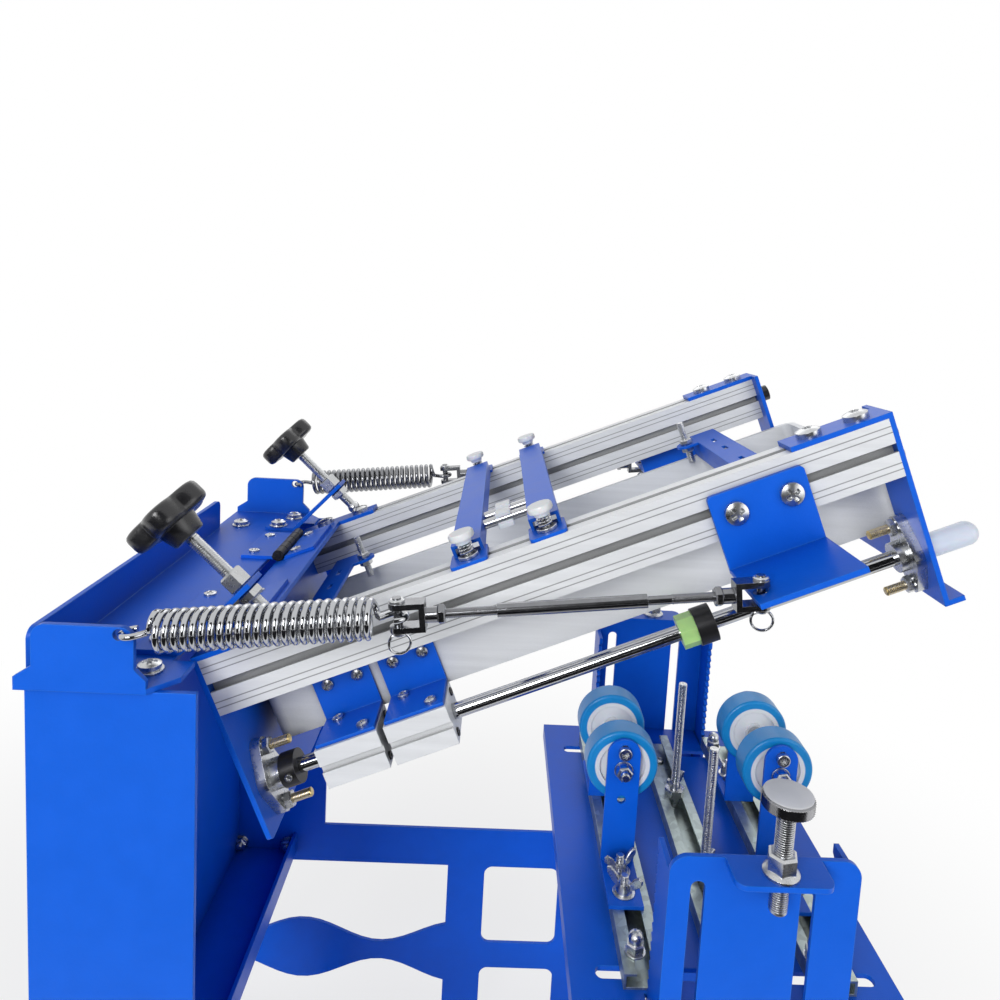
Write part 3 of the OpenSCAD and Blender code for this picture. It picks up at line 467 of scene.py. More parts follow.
def sweep(path, r, n):
    """Round wire along a path, its rings carried along so that they never twist."""
    pts = [Vector(p) for p in path]
    last = len(pts) - 1

    def tangent(i):
        return (pts[min(i + 1, last)] - pts[max(i - 1, 0)]).normalized()

    steepest = 0.9
    v = Vector((0, 0, 1)) if abs(tangent(0).z) < steepest else Vector((1, 0, 0))
    loops = []
    for i, point in enumerate(pts):
        t = tangent(i)
        v = (v - v.dot(t) * t).normalized()
        w = t.cross(v)
        loops.append([point + x * v + y * w for x, y in circle(r, n)])
    return loft(loops)


CROSS_HALF_W, CROSS_HALF_L, CROSS_DEPTH = 0.085, 0.30, 0.45
HEX_HALF, DOME_HEX_HALF, HEX_DEPTH = 0.24, 0.17, 0.6


def recess(x, y, d, h, kind):
    """Depth of a screw head's recess at x, y: a cross, or a hexagon, which is smaller in a dome."""
    x, y = abs(x), abs(y)
    if kind == "cross":
        w, l = CROSS_HALF_W * d, CROSS_HALF_L * d
        return CROSS_DEPTH * h if (x < w and y < l) or (y < w and x < l) else 0.0
    q = max(x, x * 0.5 + y * 0.866)
    return HEX_DEPTH * h if q < (HEX_HALF if kind == "hex" else DOME_HEX_HALF) * d else 0.0


def head(d, h, kind="cross", rings=14, n=48):
    """Screw head with a real recess: cross, hex or dome."""
    r0 = d / 2

    def crown(r):
        if kind == "hex":
            return h - max(0.0, r - 0.9 * r0) * 0.8
        return h * (1 - 0.35 * (r / r0) ** 2)

    verts = [(0, 0, crown(0) - recess(0, 0, d, h, kind))]
    for i in range(1, rings + 1):
        r = r0 * i / rings
        verts += [(x, y, crown(r) - recess(x, y, d, h, kind)) for x, y in circle(r, n)]
    verts += [(x, y, 0.0) for x, y in circle(r0, n)]
    faces = [(0, 1 + k, 1 + (k + 1) % n) for k in range(n)]
    for i in range(rings):
        for k in range(n):
            j = (k + 1) % n
            a, b = 1 + i * n, 1 + (i + 1) * n
            faces.append((a + k, b + k, b + j, a + j))
    return verts, faces


def thread(d, length, pitch=1.0, n=20):
    """Threaded rod end: V grooves, one per pitch, with a chamfered tip."""
    r, depth, tip = d / 2, 0.55 * pitch, 0.6
    profile = [(0.0, 0.0), (r, 0.0)]
    z = 0.0
    while z + pitch < length - tip:
        profile += [(r, z + 0.15 * pitch), (r - depth, z + 0.5 * pitch), (r, z + 0.85 * pitch)]
        z += pitch
    profile += [(r, length - tip), (r - tip, length), (0.0, length)]
    return lathe(profile, n)


def hex_nut(across, h):
    """Hexagon nut with chamfered corners."""
    return prism(circle(across / 2 / math.cos(math.pi / 6), 6), 0.0, h, 0.08 * across)


def washer(d, t, bore, c=0.2):
    return lathe([(bore / 2, 0.0), (d / 2 - c, 0.0), (d / 2, c), (d / 2, t - c), (d / 2 - c, t),
                  (bore / 2, t)], 40, closed=True)


# Pieces
WASHER_T = 1.2
bins = {}


def put(name, body, mat, shape, place):
    """Adds a shape to the named piece. Everything in a piece has one material and rides on one body."""
    entry = bins.setdefault(name, {"body": body, "mat": mat, "verts": [], "faces": []})
    start = len(entry["verts"])
    entry["verts"] += [tuple((place @ Vector(v)) * MM) for v in shape[0]]
    entry["faces"] += [tuple(i + start for i in f) for f in shape[1]]


def make(name, body, mat, verts, faces, angle=35):
    mesh = bpy.data.meshes.new(name)
    mesh.from_pydata(verts, [], faces)
    mesh.validate()
    mesh.update()
    mesh.shade_smooth()
    mesh.set_sharp_from_angle(angle=math.radians(angle))
    obj = bpy.data.objects.new(name, mesh)
    bpy.context.scene.collection.objects.link(obj)
    mesh.materials.append(mat)
    if body:
        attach(obj, body)
    return obj


def screw(group, body, x, y, z, axis, space, d=6.0, kind="cross", h=None, wash=0.0, mat=None, turn=20.0):
    """Screw head, with a washer under it if wash is its diameter."""
    if wash:
        put(group + "_washers", body, STEEL, washer(wash, WASHER_T, d * 0.5), at(x, y, z, axis, space))
    place = at(x, y, z, axis, space, turn) @ shift(0, 0, WASHER_T if wash else 0.0)
    put(group, body, mat or STEEL, head(d, h or 0.45 * d, kind), place)


def nut(group, body, x, y, z, axis, across, h, wash=0.0, end=3.0, rod=6.0):
    """Nut with the screw's threaded end, and a washer under it if wash is its diameter."""
    if wash:
        put(group + "_washers", body, STEEL, washer(wash, WASHER_T, rod), at(x, y, z, axis))
    place = at(x, y, z, axis, turn=10.0) @ shift(0, 0, WASHER_T if wash else 0.0)
    put(group, body, STEEL, hex_nut(across, h), place)
    put(group + "_threads", body, STEEL, thread(rod, end), place @ shift(0, 0, h))


WING = [(3.0, 1.0), (8.5, 4.5), (13.0, 9.5), (13.2, 13.0), (10.5, 14.2), (7.0, 11.5), (3.6, 6.5)]
BOSS = [(0, 0), (6.0, 0), (6.0, 1.5), (4.3, 7), (0, 7)]
BOLT_END_D, BOLT_END = 5.5, 5


def wing_nut(group, x, y, z, turn, size):
    """Wing nut: a turned boss with two upturned wings, and the bolt's end."""
    place = at(x, y, z, turn=turn)
    boss = [(r * size, h * size if h == BOSS[-1][1] else h) for r, h in BOSS]
    put(group, "base", STEEL, lathe(boss, 28), place)
    for s in SIDES:
        outline = [(s * px * size, pz * size) for px, pz in WING][::s]
        put(group, "base", STEEL, prism(outline, -1.2, 1.2, 0.5), place @ AXES["-y"])
    put(group + "_threads", "base", STEEL, thread(BOLT_END_D, BOLT_END),
        place @ shift(0, 0, BOSS[-1][1] * size))


# Column, tray and hinges.
TRAY_SCREWS = ((-31, -145, 0), (-34, 148, 0), (-72, 119, 0), (-38, -113, 3), (-38, 113, 3))
HINGE_Y, HINGE_HOLE = 65, 20
LEAVES = (("fixed", "base", TRAY, -21, 2.5), ("moving", "arm", ARM, 11, 1.0))
for x, y, z in TRAY_SCREWS:
    screw("tray_screws", "base", x, y, z, "+z", TRAY, d=12, h=4.2, wash=14.5)
for s in SIDES:
    for which, body, space, dx, top in LEAVES:
        for dy in (-HINGE_HOLE, HINGE_HOLE):
            screw("hinge_screws_" + which, body, HINGE.x + dx, s * (HINGE_Y + dy), top, "+z", space, d=8,
                  h=2.0, turn=15 * dy)

# Side plates: the bolts of the uprights, the table and the column.
PLATE_Y, TABLE_BOLT_Y, SHEET = 162, 159, 3
UPRIGHT_XS, UPRIGHT_Z, TABLE_Z = (266, 326), 215, 331
COLUMN_XS, COLUMN_Z = (-80, -35), 213
for s in reversed(SIDES):
    out, back = outward(s), outward(s, inward=True)
    for x in UPRIGHT_XS:
        screw("upright_bolts", "base", x, s * PLATE_Y, UPRIGHT_Z, out, BASE, d=13, kind="hex", h=5.5,
              wash=18)
        nut("upright_nuts", "base", x, s * (PLATE_Y - 2 * SHEET), UPRIGHT_Z, back, 13, 6, wash=16, end=4,
            rod=8)
        screw("table_bolts", "base", x, s * TABLE_BOLT_Y, TABLE_Z, out, BASE, d=12, kind="hex", h=5.0,
              wash=17)
        nut("table_nuts", "base", x, s * (TABLE_BOLT_Y - 2 * SHEET), TABLE_Z, back, 13, 6, rod=8)
    for x in COLUMN_XS:
        screw("column_bolts", "base", x, s * PLATE_Y, COLUMN_Z, out, BASE, d=12, h=4.5)
        nut("column_nuts", "base", x, s * (PLATE_Y - SHEET), COLUMN_Z, back, 11, 5, wash=14)

# Star-knob stop screws: coupling nuts above the slanted ears, lock nuts below.
STOP_Y = 118
EAR_SLANT = math.radians(47)
EAR_FOOT, EAR_CROSS = (-24, 3), 47.0
KNOB_UP = 50
STOP_THREAD = {"d": 7.4, "pitch": 1.25, "n": 24}


def stop_axis(s):
    """The stop screw's axis on side s, from where it crosses its ear."""
    x, z = EAR_FOOT[0] + EAR_CROSS * math.cos(EAR_SLANT), EAR_FOOT[1] + EAR_CROSS * math.sin(EAR_SLANT)
    return shift(x, s * STOP_Y, COLUMN_H + z) @ Matrix.Rotation(-EAR_SLANT, 4, "Y")


for s in SIDES:
    axis = stop_axis(s)
    put("stop_coupling_nuts", "base", STEEL, hex_nut(13, 11), axis)
    put("stop_lock_nuts", "base", STEEL, hex_nut(13, 6), axis @ shift(0, 0, -9.2))
    put("stop_threads", "base", STEEL, thread(length=28, **STOP_THREAD), axis @ shift(0, 0, 11))
    put("stop_threads", "base", STEEL, thread(length=17, **STOP_THREAD), axis @ shift(0, 0, -26.2))


# Star knobs: five rounded lobes on a hub, with a pressed insert.
def star_outline(r, n=120, lobes=5, valley=0.76, sharpness=0.7):
    out = []
    for k in range(n):
        a = 2 * math.pi * k / n
        c = 0.5 + 0.5 * math.cos(lobes * a)
        q = r * (valley + (1 - valley) * c ** sharpness)
        out.append((q * math.cos(a), q * math.sin(a)))
    return out


KNOB_R = 24.0
KNOB_LAYERS = ((0.86, 0), (0.94, 0.7), (0.985, 2.0), (1.0, 4.0), (1.0, 9.0), (0.985, 11.0), (0.94, 12.3),
               (0.86, 13.0), (0.55, 13.4))
KNOB_HUB = [(0, -10), (8.6, -10), (9.6, -9), (11.5, 0.5), (0, 0.5)]
KNOB_INSERT = [(0, 13.35), (4.4, 13.35), (4.4, 13.9), (3.9, 14.1), (2.6, 14.1), (2.4, 13.5), (0, 13.5)]
for s in SIDES:
    up = stop_axis(s) @ shift(0, 0, KNOB_UP)
    grip = loft([[(x * scale, y * scale, z) for x, y in star_outline(KNOB_R)] for scale, z in KNOB_LAYERS])
    put("star_knob_grips", "base", BLACK, grip, up)
    put("star_knob_grips", "base", BLACK, lathe(KNOB_HUB, 40), up)
    put("star_knob_inserts", "base", STEEL, lathe(KNOB_INSERT), up)

# Rest screws: diamond-knurled heads, flange nuts on the flaps and threaded shanks.
REST_X, REST_Y, REST_TOP, FLAP_TOP = 305.5, 169.0, 501.0, 456.0
REST_CAP = [(0, 0), (12.4, 0), (12.6, 0.5), (11.8, 1.0), (0, 1.0)]
REST_SHANK = [(0, 434.5), (4.0, 434.5), (4.6, 435.5), (4.6, 493.2), (0, 493.2)]
REST_NECK = [(0, 491), (7.5, 491), (7.5, 493.2), (0, 493.2)]
REST_FLANGE = [(0, 0), (9.6, 0), (9.6, 1.4), (7.6, 3.2), (0, 3.2)]
REST_THREAD = {"d": 9.8, "pitch": 1.25, "n": 24}


def knurled(r, h, n=54, rows=7, depth=0.045, rim=0.90, rim_h=0.9):
    """Head with a diamond knurl and chamfered rims."""
    loops = []
    belt = [(1.0, rim_h + (h - 2 * rim_h) * i / rows) for i in range(rows + 1)]
    for row, (scale, z) in enumerate([(rim, 0.0)] + belt + [(rim, h)]):
        edge = []
        for k in range(2 * n):
            a = math.pi * k / n
            groove = (k + row) % 2 and scale == 1.0
            q = r * scale * (1.0 - (depth if groove else 0.0))
            edge.append((q * math.cos(a), q * math.sin(a), z))
        loops.append(edge)
    return loft(loops)


for s in SIDES:
    foot = at(REST_X, s * REST_Y, 0)
    put("rest_screw_bodies", "base", DARK, knurled(13.5, 7.0), foot @ shift(0, 0, REST_TOP - 8))
    put("rest_caps", "base", SATIN, lathe(REST_CAP, 48), foot @ shift(0, 0, REST_TOP - 1))
    put("rest_screw_bodies", "base", DARK, lathe(REST_SHANK), foot)
    put("rest_screw_bodies", "base", DARK, lathe(REST_NECK), foot)
    put("rest_threads", "base", STEEL, thread(length=21, **REST_THREAD), foot @ shift(0, 0, FLAP_TOP + 12))
    put("rest_threads", "base", STEEL, thread(length=18, **REST_THREAD),
        at(REST_X, s * REST_Y, FLAP_TOP - 3, "-z"))
    put("rest_flange_nuts", "base", STEEL, lathe(REST_FLANGE, 36), foot @ shift(0, 0, FLAP_TOP))
    put("rest_flange_nuts", "base", STEEL, hex_nut(14.0, 12), at(REST_X, s * REST_Y, FLAP_TOP, turn=12))

# Rollers: axle nuts, height bolts and wing nuts on the rails.
STRIP_Y, HEIGHT_BOLT_Z = 38.5, 440
FOOT_Y, FOOT_TOP = 36, 359.5
OUTER_RAIL_Y, RAIL_SCREW_Y, RAIL_SCREW_XS = 112, 100, (305, 363)
ROD_X, ROD_YS = 305, (-48, 42)
ACORN = [(0, 0), (4.2, 0), (4.6, 2.5), (4.0, 5.0), (2.2, 6.6), (0, 7.2)]
for s in SIDES:
    out = outward(s)
    for x in WHEEL_XS:
        nut("axle_nuts", "base", x, s * STRIP_Y, AXLE_Z, out, 10, 5.5, wash=13, end=3.5)
        screw("strip_bolts", "base", x, s * STRIP_Y, HEIGHT_BOLT_Z, out, BASE, d=9, kind="hex", h=4)
        for d, turn in ((13, 25), (32, -30)):
            put("rail_washers", "base", STEEL, washer(15, 1.0, 5.6), at(x, s * (FOOT_Y + d), FOOT_TOP))
            wing_nut("rail_wing_nuts", x, s * (FOOT_Y + d), FOOT_TOP + 1, turn, 0.95)
        put("rail_bolt_washers", "base", STEEL, washer(13, WASHER_T, 6.0), at(x, s * OUTER_RAIL_Y, 357))
        put("rail_bolts", "base", STEEL, hex_nut(10, 5.5), at(x, s * OUTER_RAIL_Y, 358.2, turn=18))
        put("rail_bolts", "base", STEEL, lathe(ACORN), at(x, s * OUTER_RAIL_Y, 363.7))
for y in (-RAIL_SCREW_Y, RAIL_SCREW_Y):
    for x in RAIL_SCREW_XS:
        screw("rail_screws", "base", x, y, 348.5, "+z", BASE, d=8.5, h=3.0)
for y in ROD_YS:
    put("stop_rod_threads", "base", STEEL, thread(6.5, 88, 1.2, 18), at(ROD_X, y, 363))
    wing_nut("stop_rod_wings", ROD_X, y, 362.6, 40, 0.8)

# Arm: end tab screws, spring bracket screws and end plate screws.
RAIL_Y, RAIL_SIDE_Y = 115, 128
TAB_XS, BRACKET_XS = (347, 375, 2, 34), (292, 324)
END_XS, END_ZS = ((391, "+x"), (-20, "-x")), (-15, -28)
for s in SIDES:
    for x in TAB_XS:
        screw("end_tab_screws", "arm", x, s * RAIL_Y, -1.5, "+z", ARM, d=14, kind="dome", h=5.0)
    for x in BRACKET_XS:
        screw("spring_bracket_screws", "arm", x, s * RAIL_SIDE_Y, -25, outward(s), ARM, d=13, h=4.2)
    for z in END_ZS:
        for x, axis in END_XS:
            screw("end_plate_screws", "arm", x, s * RAIL_Y, z, axis, ARM, d=8, kind="hex", h=3.2)

# Flange bearings: yellow plated studs and nuts.
SHAFT_Y, SHAFT_Z, STUD_UP = 105, -91, 18
for s in SIDES:
    for x, way, axis, back in ((-17, 1, "+x", "-x"), (388, -1, "-x", "+x")):
        for z in (SHAFT_Z - STUD_UP, SHAFT_Z + STUD_UP):
            flange = x + way * 6
            put("bearing_nuts", "arm", STEEL, hex_nut(9, 4.6), at(flange, s * SHAFT_Y, z, axis, ARM, 8))
            put("bearing_studs", "arm", BRASS, thread(5.4, 12, 0.9, 18),
                at(flange + way * 4.6, s * SHAFT_Y, z, axis, ARM))
            screw("bearing_screw_heads", "arm", x - way * 3, s * SHAFT_Y, z, back, ARM, d=9, kind="hex", h=4)
    put("collar_set_screws", "arm", STEEL, head(4.4, 1.2, "hex", 10, 30),
        at(0.5, s * SHAFT_Y - 9.8, SHAFT_Z, "-y", ARM))

# Sliding blocks: countersunk cap screws on the ends and the plates' screws.
BLOCK_XS, BLOCK_LEN = (22, 64), 38
for s in SIDES:
    for x0 in BLOCK_XS:
        for dx, flat_y in ((10, 94), (29, 112)):
            screw("plate_screws_flat", "carriage", x0 + dx, s * flat_y, -77, "+z", ARM, d=7, h=2.6)
            screw("plate_screws_up", "carriage", x0 + dx, s * 89, -56, outward(s), ARM, d=7, h=2.6)
        for dy, dz in ((-9, -8), (9, 8)):
            screw("block_end_screws", "carriage", x0 + BLOCK_LEN, s * SHAFT_Y + dy, SHAFT_Z + dz, "+x", ARM,
                  d=5, kind="hex", h=1.0, mat=BLACK_STEEL)

# Levelling screws: threads and lock nuts.
LEVEL_XS, LEVEL_Y = (36, 312), 68
for x in LEVEL_XS:
    put("levelling_threads", "carriage", STEEL, thread(5.4, 33, 0.9, 18), at(x, LEVEL_Y, -44.5, "+z", ARM))
    for z, turn in ((-35.2, 12), (-29, 30)):
        put("levelling_nuts", "carriage", STEEL, hex_nut(9, 4.2), at(x, LEVEL_Y, z, "+z", ARM, turn))

# Squeegee bars: knurled thumb screws with short springs.
RAIL_TOP = -4.5
THUMB_XS = (144, 191)
THUMB_NECK = [(0, 10.5), (4.2, 10.5), (4.6, 11.0), (5.2, 13.4), (0, 13.4)]
THUMB_SPRING_R, THUMB_SPRING_FOOT, THUMB_SPRING_LEN = 3.9, 4.6, 5.2
THUMB_TURNS, THUMB_STEPS = 3, 14


def thumb_spring():
    steps = THUMB_TURNS * THUMB_STEPS
    path = []
    for k in range(steps + 1):
        a = 2 * math.pi * k / THUMB_STEPS
        path.append((THUMB_SPRING_R * math.cos(a), THUMB_SPRING_R * math.sin(a),
                     THUMB_SPRING_FOOT + THUMB_SPRING_LEN * k / steps))
    return sweep(path, 0.6, 8)


for x in THUMB_XS:
    for s in SIDES:
        place = at(x, s * RAIL_Y, RAIL_TOP, "+z", ARM)
        put("thumb_grips", "arm", WHITE, knurled(7.5, 4.2, 30, 3, 0.07), place @ shift(0, 0, 13.3))
        put("thumb_grips", "arm", WHITE, lathe(THUMB_NECK, 28), place)
        put("thumb_collars", "arm", STEEL, washer(12, 2.0, 5.0), place @ shift(0, 0, 2))
        put("thumb_springs", "arm", CHROME, thumb_spring(), place)
        put("thumb_threads", "arm", STEEL, thread(5.0, 13.5, 0.9, 18), place @ shift(0, 0, -2.8))

# Squeegee clamp on its rods: two white nylon blocks with a waist.
CLAMP_X, CLAMP_YS, CLAMP_HALF = 166.5, (-70, -52), 5
WAIST = [(-4.5, -5), (4.5, -5), (4.5, -2.5), (2.6, -1.2), (2.6, 1.2), (4.5, 2.5), (4.5, 5), (-4.5, 5),
         (-4.5, 2.5), (-2.6, 1.2), (-2.6, -1.2), (-4.5, -2.5)]
for y in CLAMP_YS:
    put("squeegee_slides", "arm", WHITE, prism(WAIST, -CLAMP_HALF, CLAMP_HALF, 0.5),
        at(CLAMP_X, y, RAIL_TOP + 4.5, "+x", ARM, 90))

# Springs and tie rods: a line from the tab's hole to the clevis pin in the spring bracket.
SPRING_Y = 163.5
HOOK = (-37.5, 568.0)
PIN = (284.0, -56.5)
pin = ARM @ Vector((PIN[0], 0, PIN[1]))
LINK = math.atan2(pin.z - HOOK[1], pin.x - HOOK[0])
LINK_LEN = math.hypot(pin.z - HOOK[1], pin.x - HOOK[0])
COILS, SPRING_OD, WIRE, COIL_LEN = 24, 22.0, 3.4, 108.0
COIL_R = (SPRING_OD - WIRE) / 2
LOOP_R, NECK, TAIL = 5.4, 8.4, 3.4
TAB_HOLE, CLEVIS_PIN_R, PLAY = 6.0, 2.25, 0.3
HOOK_PLAY = (TAB_HOLE - WIRE) / 2 - PLAY
LOOP_PLAY = LOOP_R - WIRE / 2 - CLEVIS_PIN_R - PLAY
COIL_START = HOOK_PLAY + LOOP_R + NECK + TAIL
COIL_END = COIL_START + COIL_LEN
FIRST_PIN = COIL_END + TAIL + NECK + LOOP_PLAY
RING_R, RING_DROP, PIN_REACH = 5.5, 14.2, 7.5
PIN_HEAD = [(0, 0), (4.0, 0), (4.0, 1.2), (3.2, 1.8), (0, 1.8)]


def along_link(s):
    return shift(HOOK[0], s * SPRING_Y, HOOK[1]) @ Matrix.Rotation(-LINK, 4, "Y")


def spring_path(steps=26, tail_steps=8, loop_steps=22, gap=math.radians(40)):
    """The spring's wire: a loop, a tail, the coils, a tail and a loop."""
    tangent = math.acos(LOOP_R / NECK)
    coil = [(COIL_START + COIL_LEN * i / (COILS * steps), COIL_R * math.sin(2 * math.pi * i / steps),
             COIL_R * math.cos(2 * math.pi * i / steps)) for i in range(COILS * steps + 1)]
    end = []
    for i in range(1, tail_steps):
        q = i / tail_steps
        a = 2 * math.pi * 0.25 * q
        end.append((TAIL * q, COIL_R * (1 - q) * math.sin(a), COIL_R * (1 - q) * math.cos(a)))
    end.append((TAIL, 0.0, 0.0))
    turn = 2 * math.pi - 2 * tangent - gap
    for i in range(loop_steps + 1):
        a = math.pi - tangent - i * turn / loop_steps
        end.append((TAIL + NECK + LOOP_R * math.cos(a), LOOP_R * math.sin(a), 0.0))
    first = [(COIL_START - x, -y, z) for x, y, z in reversed(end)]
    return first + coil + [(COIL_END + x, y, z) for x, y, z in end]


def split_ring(r=RING_R, steps=26, points=48, pitch=0.8):
    path = []
    for k in range(points):
        a = 2 * math.pi * k / steps
        path.append((r * math.cos(a), pitch * k / (2 * steps), r * math.sin(a)))
    return sweep(path, 0.7, 8)


for s, side, mat in ((-1, "near", CHROME), (1, "far", DARK)):
    place = along_link(s)
    verts, faces = sweep([(x, -s * y, z) for x, y, z in spring_path()], WIRE / 2, 12)
    placed = [tuple((place @ Vector(v)) * MM) for v in verts]
    wire = make(side + "_spring_wire", None, mat, placed, faces, 60)
    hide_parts(side + "_spring")
    a, b = place @ Vector((COIL_START, 0, 0)) * MM, place @ Vector((COIL_END, 0, 0)) * MM
    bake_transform(wire)
    rod = side + "_rod_link"
    for x, tilt in ((FIRST_PIN, 12), (LINK_LEN, -10)):
        ring_place = place @ shift(x, 0, -RING_DROP) @ Matrix.Rotation(math.radians(tilt), 4, "Z")
        put(side + "_split_rings", rod, CHROME, split_ring(), ring_place)
        put(side + "_pin_heads", rod, STEEL, lathe(PIN_HEAD, 28), place @ shift(x, 0, PIN_REACH))
        put(side + "_pin_heads", rod, STEEL, lathe(PIN_HEAD, 28),
            place @ shift(x, 0, -PIN_REACH) @ AXES["-z"])
    for x in (FIRST_PIN + 20.0, LINK_LEN - 24.0):
        put(side + "_lock_nuts", rod, DARK, hex_nut(9, 4), place @ shift(x, 0, 0) @ AXES["+x"])
    for x, length, axis in ((FIRST_PIN + 24.0, 28, "+x"), (LINK_LEN - 24.0, 22, "-x")):
        put(side + "_rod_threads", rod, DARK, thread(5.0, length, 0.9, 18),
            place @ shift(x, 0, 0) @ AXES[axis])

for n, e in bins.items():
    make(n, e["body"], e["mat"], e["verts"], e["faces"])
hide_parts("star_knobs")
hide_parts("rest_screws")
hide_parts("thumb_screws")

# Screen cloth: one stretched sheet glued under the frame.
FRAME_LEFT, FRAME_RIGHT, FRAME_HALF_W, FRAME_UNDER = -10.0, 403.0, 87.0, -81.0
MARGIN, CLOTH_DROP = 4.0, 0.35
CLOTH_NX, CLOTH_NY = 62, 28
cloth_w, cloth_h = FRAME_RIGHT - FRAME_LEFT - 2 * MARGIN, 2 * (FRAME_HALF_W - MARGIN)
verts, faces = [], []
for i in range(CLOTH_NX + 1):
    for j in range(CLOTH_NY + 1):
        x = FRAME_LEFT + MARGIN + cloth_w * i / CLOTH_NX
        y = -FRAME_HALF_W + MARGIN + cloth_h * j / CLOTH_NY
        verts.append(tuple((ARM @ Vector((x, y, FRAME_UNDER - CLOTH_DROP))) * MM))
row = CLOTH_NY + 1
for i in range(CLOTH_NX):
    for j in range(CLOTH_NY):
        a = i * row + j
        faces.append((a, a + row, a + row + 1, a + 1))
cloth = make("screen_cloth", "carriage", CLOTH, verts, faces)
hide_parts("screen_mesh")

# Camera, fitted to the photograph: its place in metres, its axes, and its focal length and centre in pixels
CAMERA_PLACE = Vector((0.1446, -0.5332, 0.7404))
RIGHT = Vector((0.998262, -0.021102, 0.055033))
UP = Vector((-0.052473, 0.107016, 0.992872))
FORWARD = Vector((0.026841, 0.994033, -0.105723))
IMAGE_PX, SENSOR = 1000, 36.0
FOCAL_PX, PRINCIPAL = 760.84, (517.54, 389.95)
cam_data = bpy.data.cameras.new("camera")
cam_data.sensor_width = SENSOR
cam_data.lens = FOCAL_PX / IMAGE_PX * SENSOR
cam_data.shift_x = (IMAGE_PX / 2 - PRINCIPAL[0]) / IMAGE_PX
cam_data.shift_y = (PRINCIPAL[1] - IMAGE_PX / 2) / IMAGE_PX
cam_data.clip_start = 0.02
cam_data.clip_end = 30.0
cam = bpy.data.objects.new("camera", cam_data)
bpy.context.scene.collection.objects.link(cam)
cam.matrix_world = Matrix((
    (RIGHT.x, UP.x, -FORWARD.x, CAMERA_PLACE.x), (RIGHT.y, UP.y, -FORWARD.y, CAMERA_PLACE.y),
    (RIGHT.z, UP.z, -FORWARD.z, CAMERA_PLACE.z), (0, 0, 0, 1)))
bpy.context.scene.camera = cam


# Lights, in metres and watts
def area(name, place, target, size, power):
    data = bpy.data.lights.new(name, "AREA")
    data.shape = "RECTANGLE"
    data.size, data.size_y = size
    data.energy = power
    obj = bpy.data.objects.new(name, data)
    obj.location = place
    obj.rotation_euler = (Vector(target) - Vector(place)).to_track_quat("-Z", "Y").to_euler()
    bpy.context.scene.collection.objects.link(obj)


area("key", (-0.8, -2.3, 1.5), (0.1, 0, 0.5), (1.2, 1.0), 40)
area("fill", (1.9, -1.6, 1.0), (0.15, 0, 0.5), (1.6, 1.4), 9)
area("back", (0.3, 1.8, 1.9), (0.1, 0, 0.5), (1.8, 1.0), 6)


def sheet_of(name, corners, mat):
    """A flat four-cornered surface of the studio, in metres."""
    mesh = bpy.data.meshes.new(name)
    mesh.from_pydata(corners, [], [(0, 1, 2, 3)])
    mesh.materials.append(mat)
    obj = bpy.data.objects.new(name, mesh)
    bpy.context.scene.collection.objects.link(obj)
    return obj


def seen_by(nodes, links, *rays):
    """1 for any of the named kinds of ray, otherwise 0."""
    path = nodes.new("ShaderNodeLightPath")
    seen = path.outputs[rays[0]]
    for ray in rays[1:]:
        seen = value_math(nodes, links, "MAXIMUM", seen, path.outputs[ray])
    return seen


def blended(nodes, links, first, second, share, output):
    """Mixes two shaders by a share and sends the result to the output."""
    mixer = nodes.new("ShaderNodeMixShader")
    links.new(share, mixer.inputs["Fac"])
    links.new(first, mixer.inputs[1])
    links.new(second, mixer.inputs[2])
    links.new(mixer.outputs["Shader"], nodes[output].inputs["Surface"])


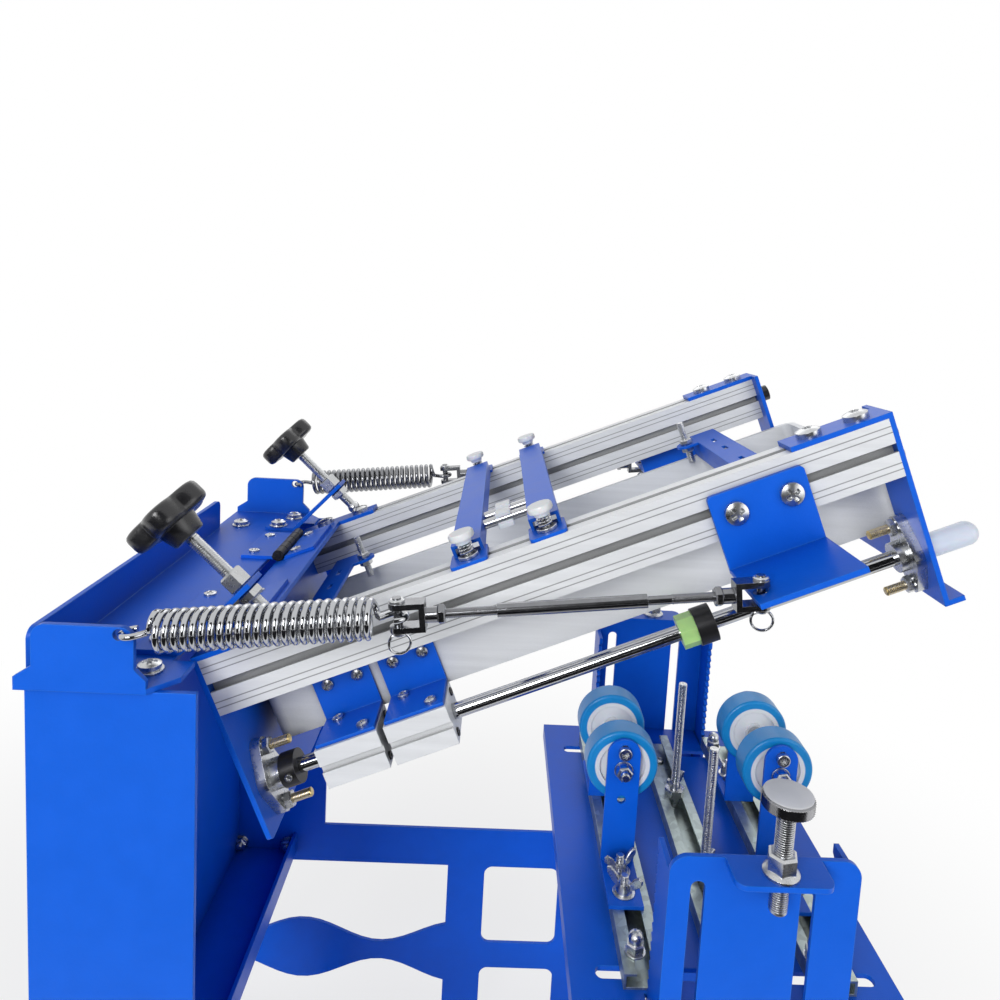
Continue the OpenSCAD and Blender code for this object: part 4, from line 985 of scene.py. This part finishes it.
# Floor: pale and shadowed near the machine, and fading into white for the camera and reflections.
FLOOR_HALF, FLOOR_Z = 6.0, -0.0005
FADE_FROM, FADE_TO, FADE_LEAST = 0.3, 1.2, 0.72
floor_mat = material("pale floor", (0.86, 0.865, 0.87), rough=0.6, vary=0.01, vary_scale=3.0, bump=0.02,
                     bump_scale=200.0)
ground = sheet_of("floor", [(x * FLOOR_HALF, y * FLOOR_HALF, FLOOR_Z)
                            for x, y in ((-1, -1), (1, -1), (1, 1), (-1, 1))], floor_mat)
nodes, links, p = shader(floor_mat)
glow = nodes.new("ShaderNodeEmission")
glow.inputs["Color"].default_value = (1, 1, 1, 1)
glow.inputs["Strength"].default_value = 1.0
fade = map_range(nodes, links, vector_math(nodes, links, "LENGTH", place_vector(nodes)), FADE_FROM, FADE_TO,
                 FADE_LEAST)
fade.node.interpolation_type = "SMOOTHSTEP"
share = value_math(nodes, links, "MULTIPLY", fade, seen_by(nodes, links, "Is Camera Ray", "Is Glossy Ray"))
blended(nodes, links, p.outputs["BSDF"], glow.outputs["Emission"], share, "Material Output")

# Dark studio flags that only the metals reflect.
FELT = material("black felt", (0.02, 0.02, 0.022), rough=0.95, vary=0.2, vary_scale=8.0, bump=0.3,
                specular=0.0)
FLAGS = {
    "front_flag": [(-2.4, -2.6, 0.05), (2.6, -2.6, 0.05), (2.6, -2.6, 3.4), (-2.4, -2.6, 3.4)],
    "low_flag": [(-1.5, -2.5, 0.004), (1.8, -2.5, 0.004), (1.8, -0.5, 0.004), (-1.5, -0.5, 0.004)],
}
for name, corners in FLAGS.items():
    card = sheet_of(name, corners, FELT)
    card.visible_camera = False
    card.visible_diffuse = False
    card.visible_shadow = False
    card.visible_transmission = False

# World: soft light on the machine, and white for the camera, reflections and clear plastic.
world = bpy.data.worlds.new("studio")
bpy.context.scene.world = world
world.use_nodes = True
nodes, links = world.node_tree.nodes, world.node_tree.links
background = nodes["Background"]
background.inputs["Color"].default_value = (0.93, 0.95, 1.0, 1)
background.inputs["Strength"].default_value = 0.28
white = nodes.new("ShaderNodeBackground")
white.inputs["Color"].default_value = (1, 1, 1, 1)
white.inputs["Strength"].default_value = 1.0
direct = seen_by(nodes, links, "Is Camera Ray", "Is Glossy Ray", "Is Transmission Ray")
blended(nodes, links, background.outputs["Background"], white.outputs["Background"], direct, "World Output")
bpy.context.scene.view_settings.view_transform = "Standard"
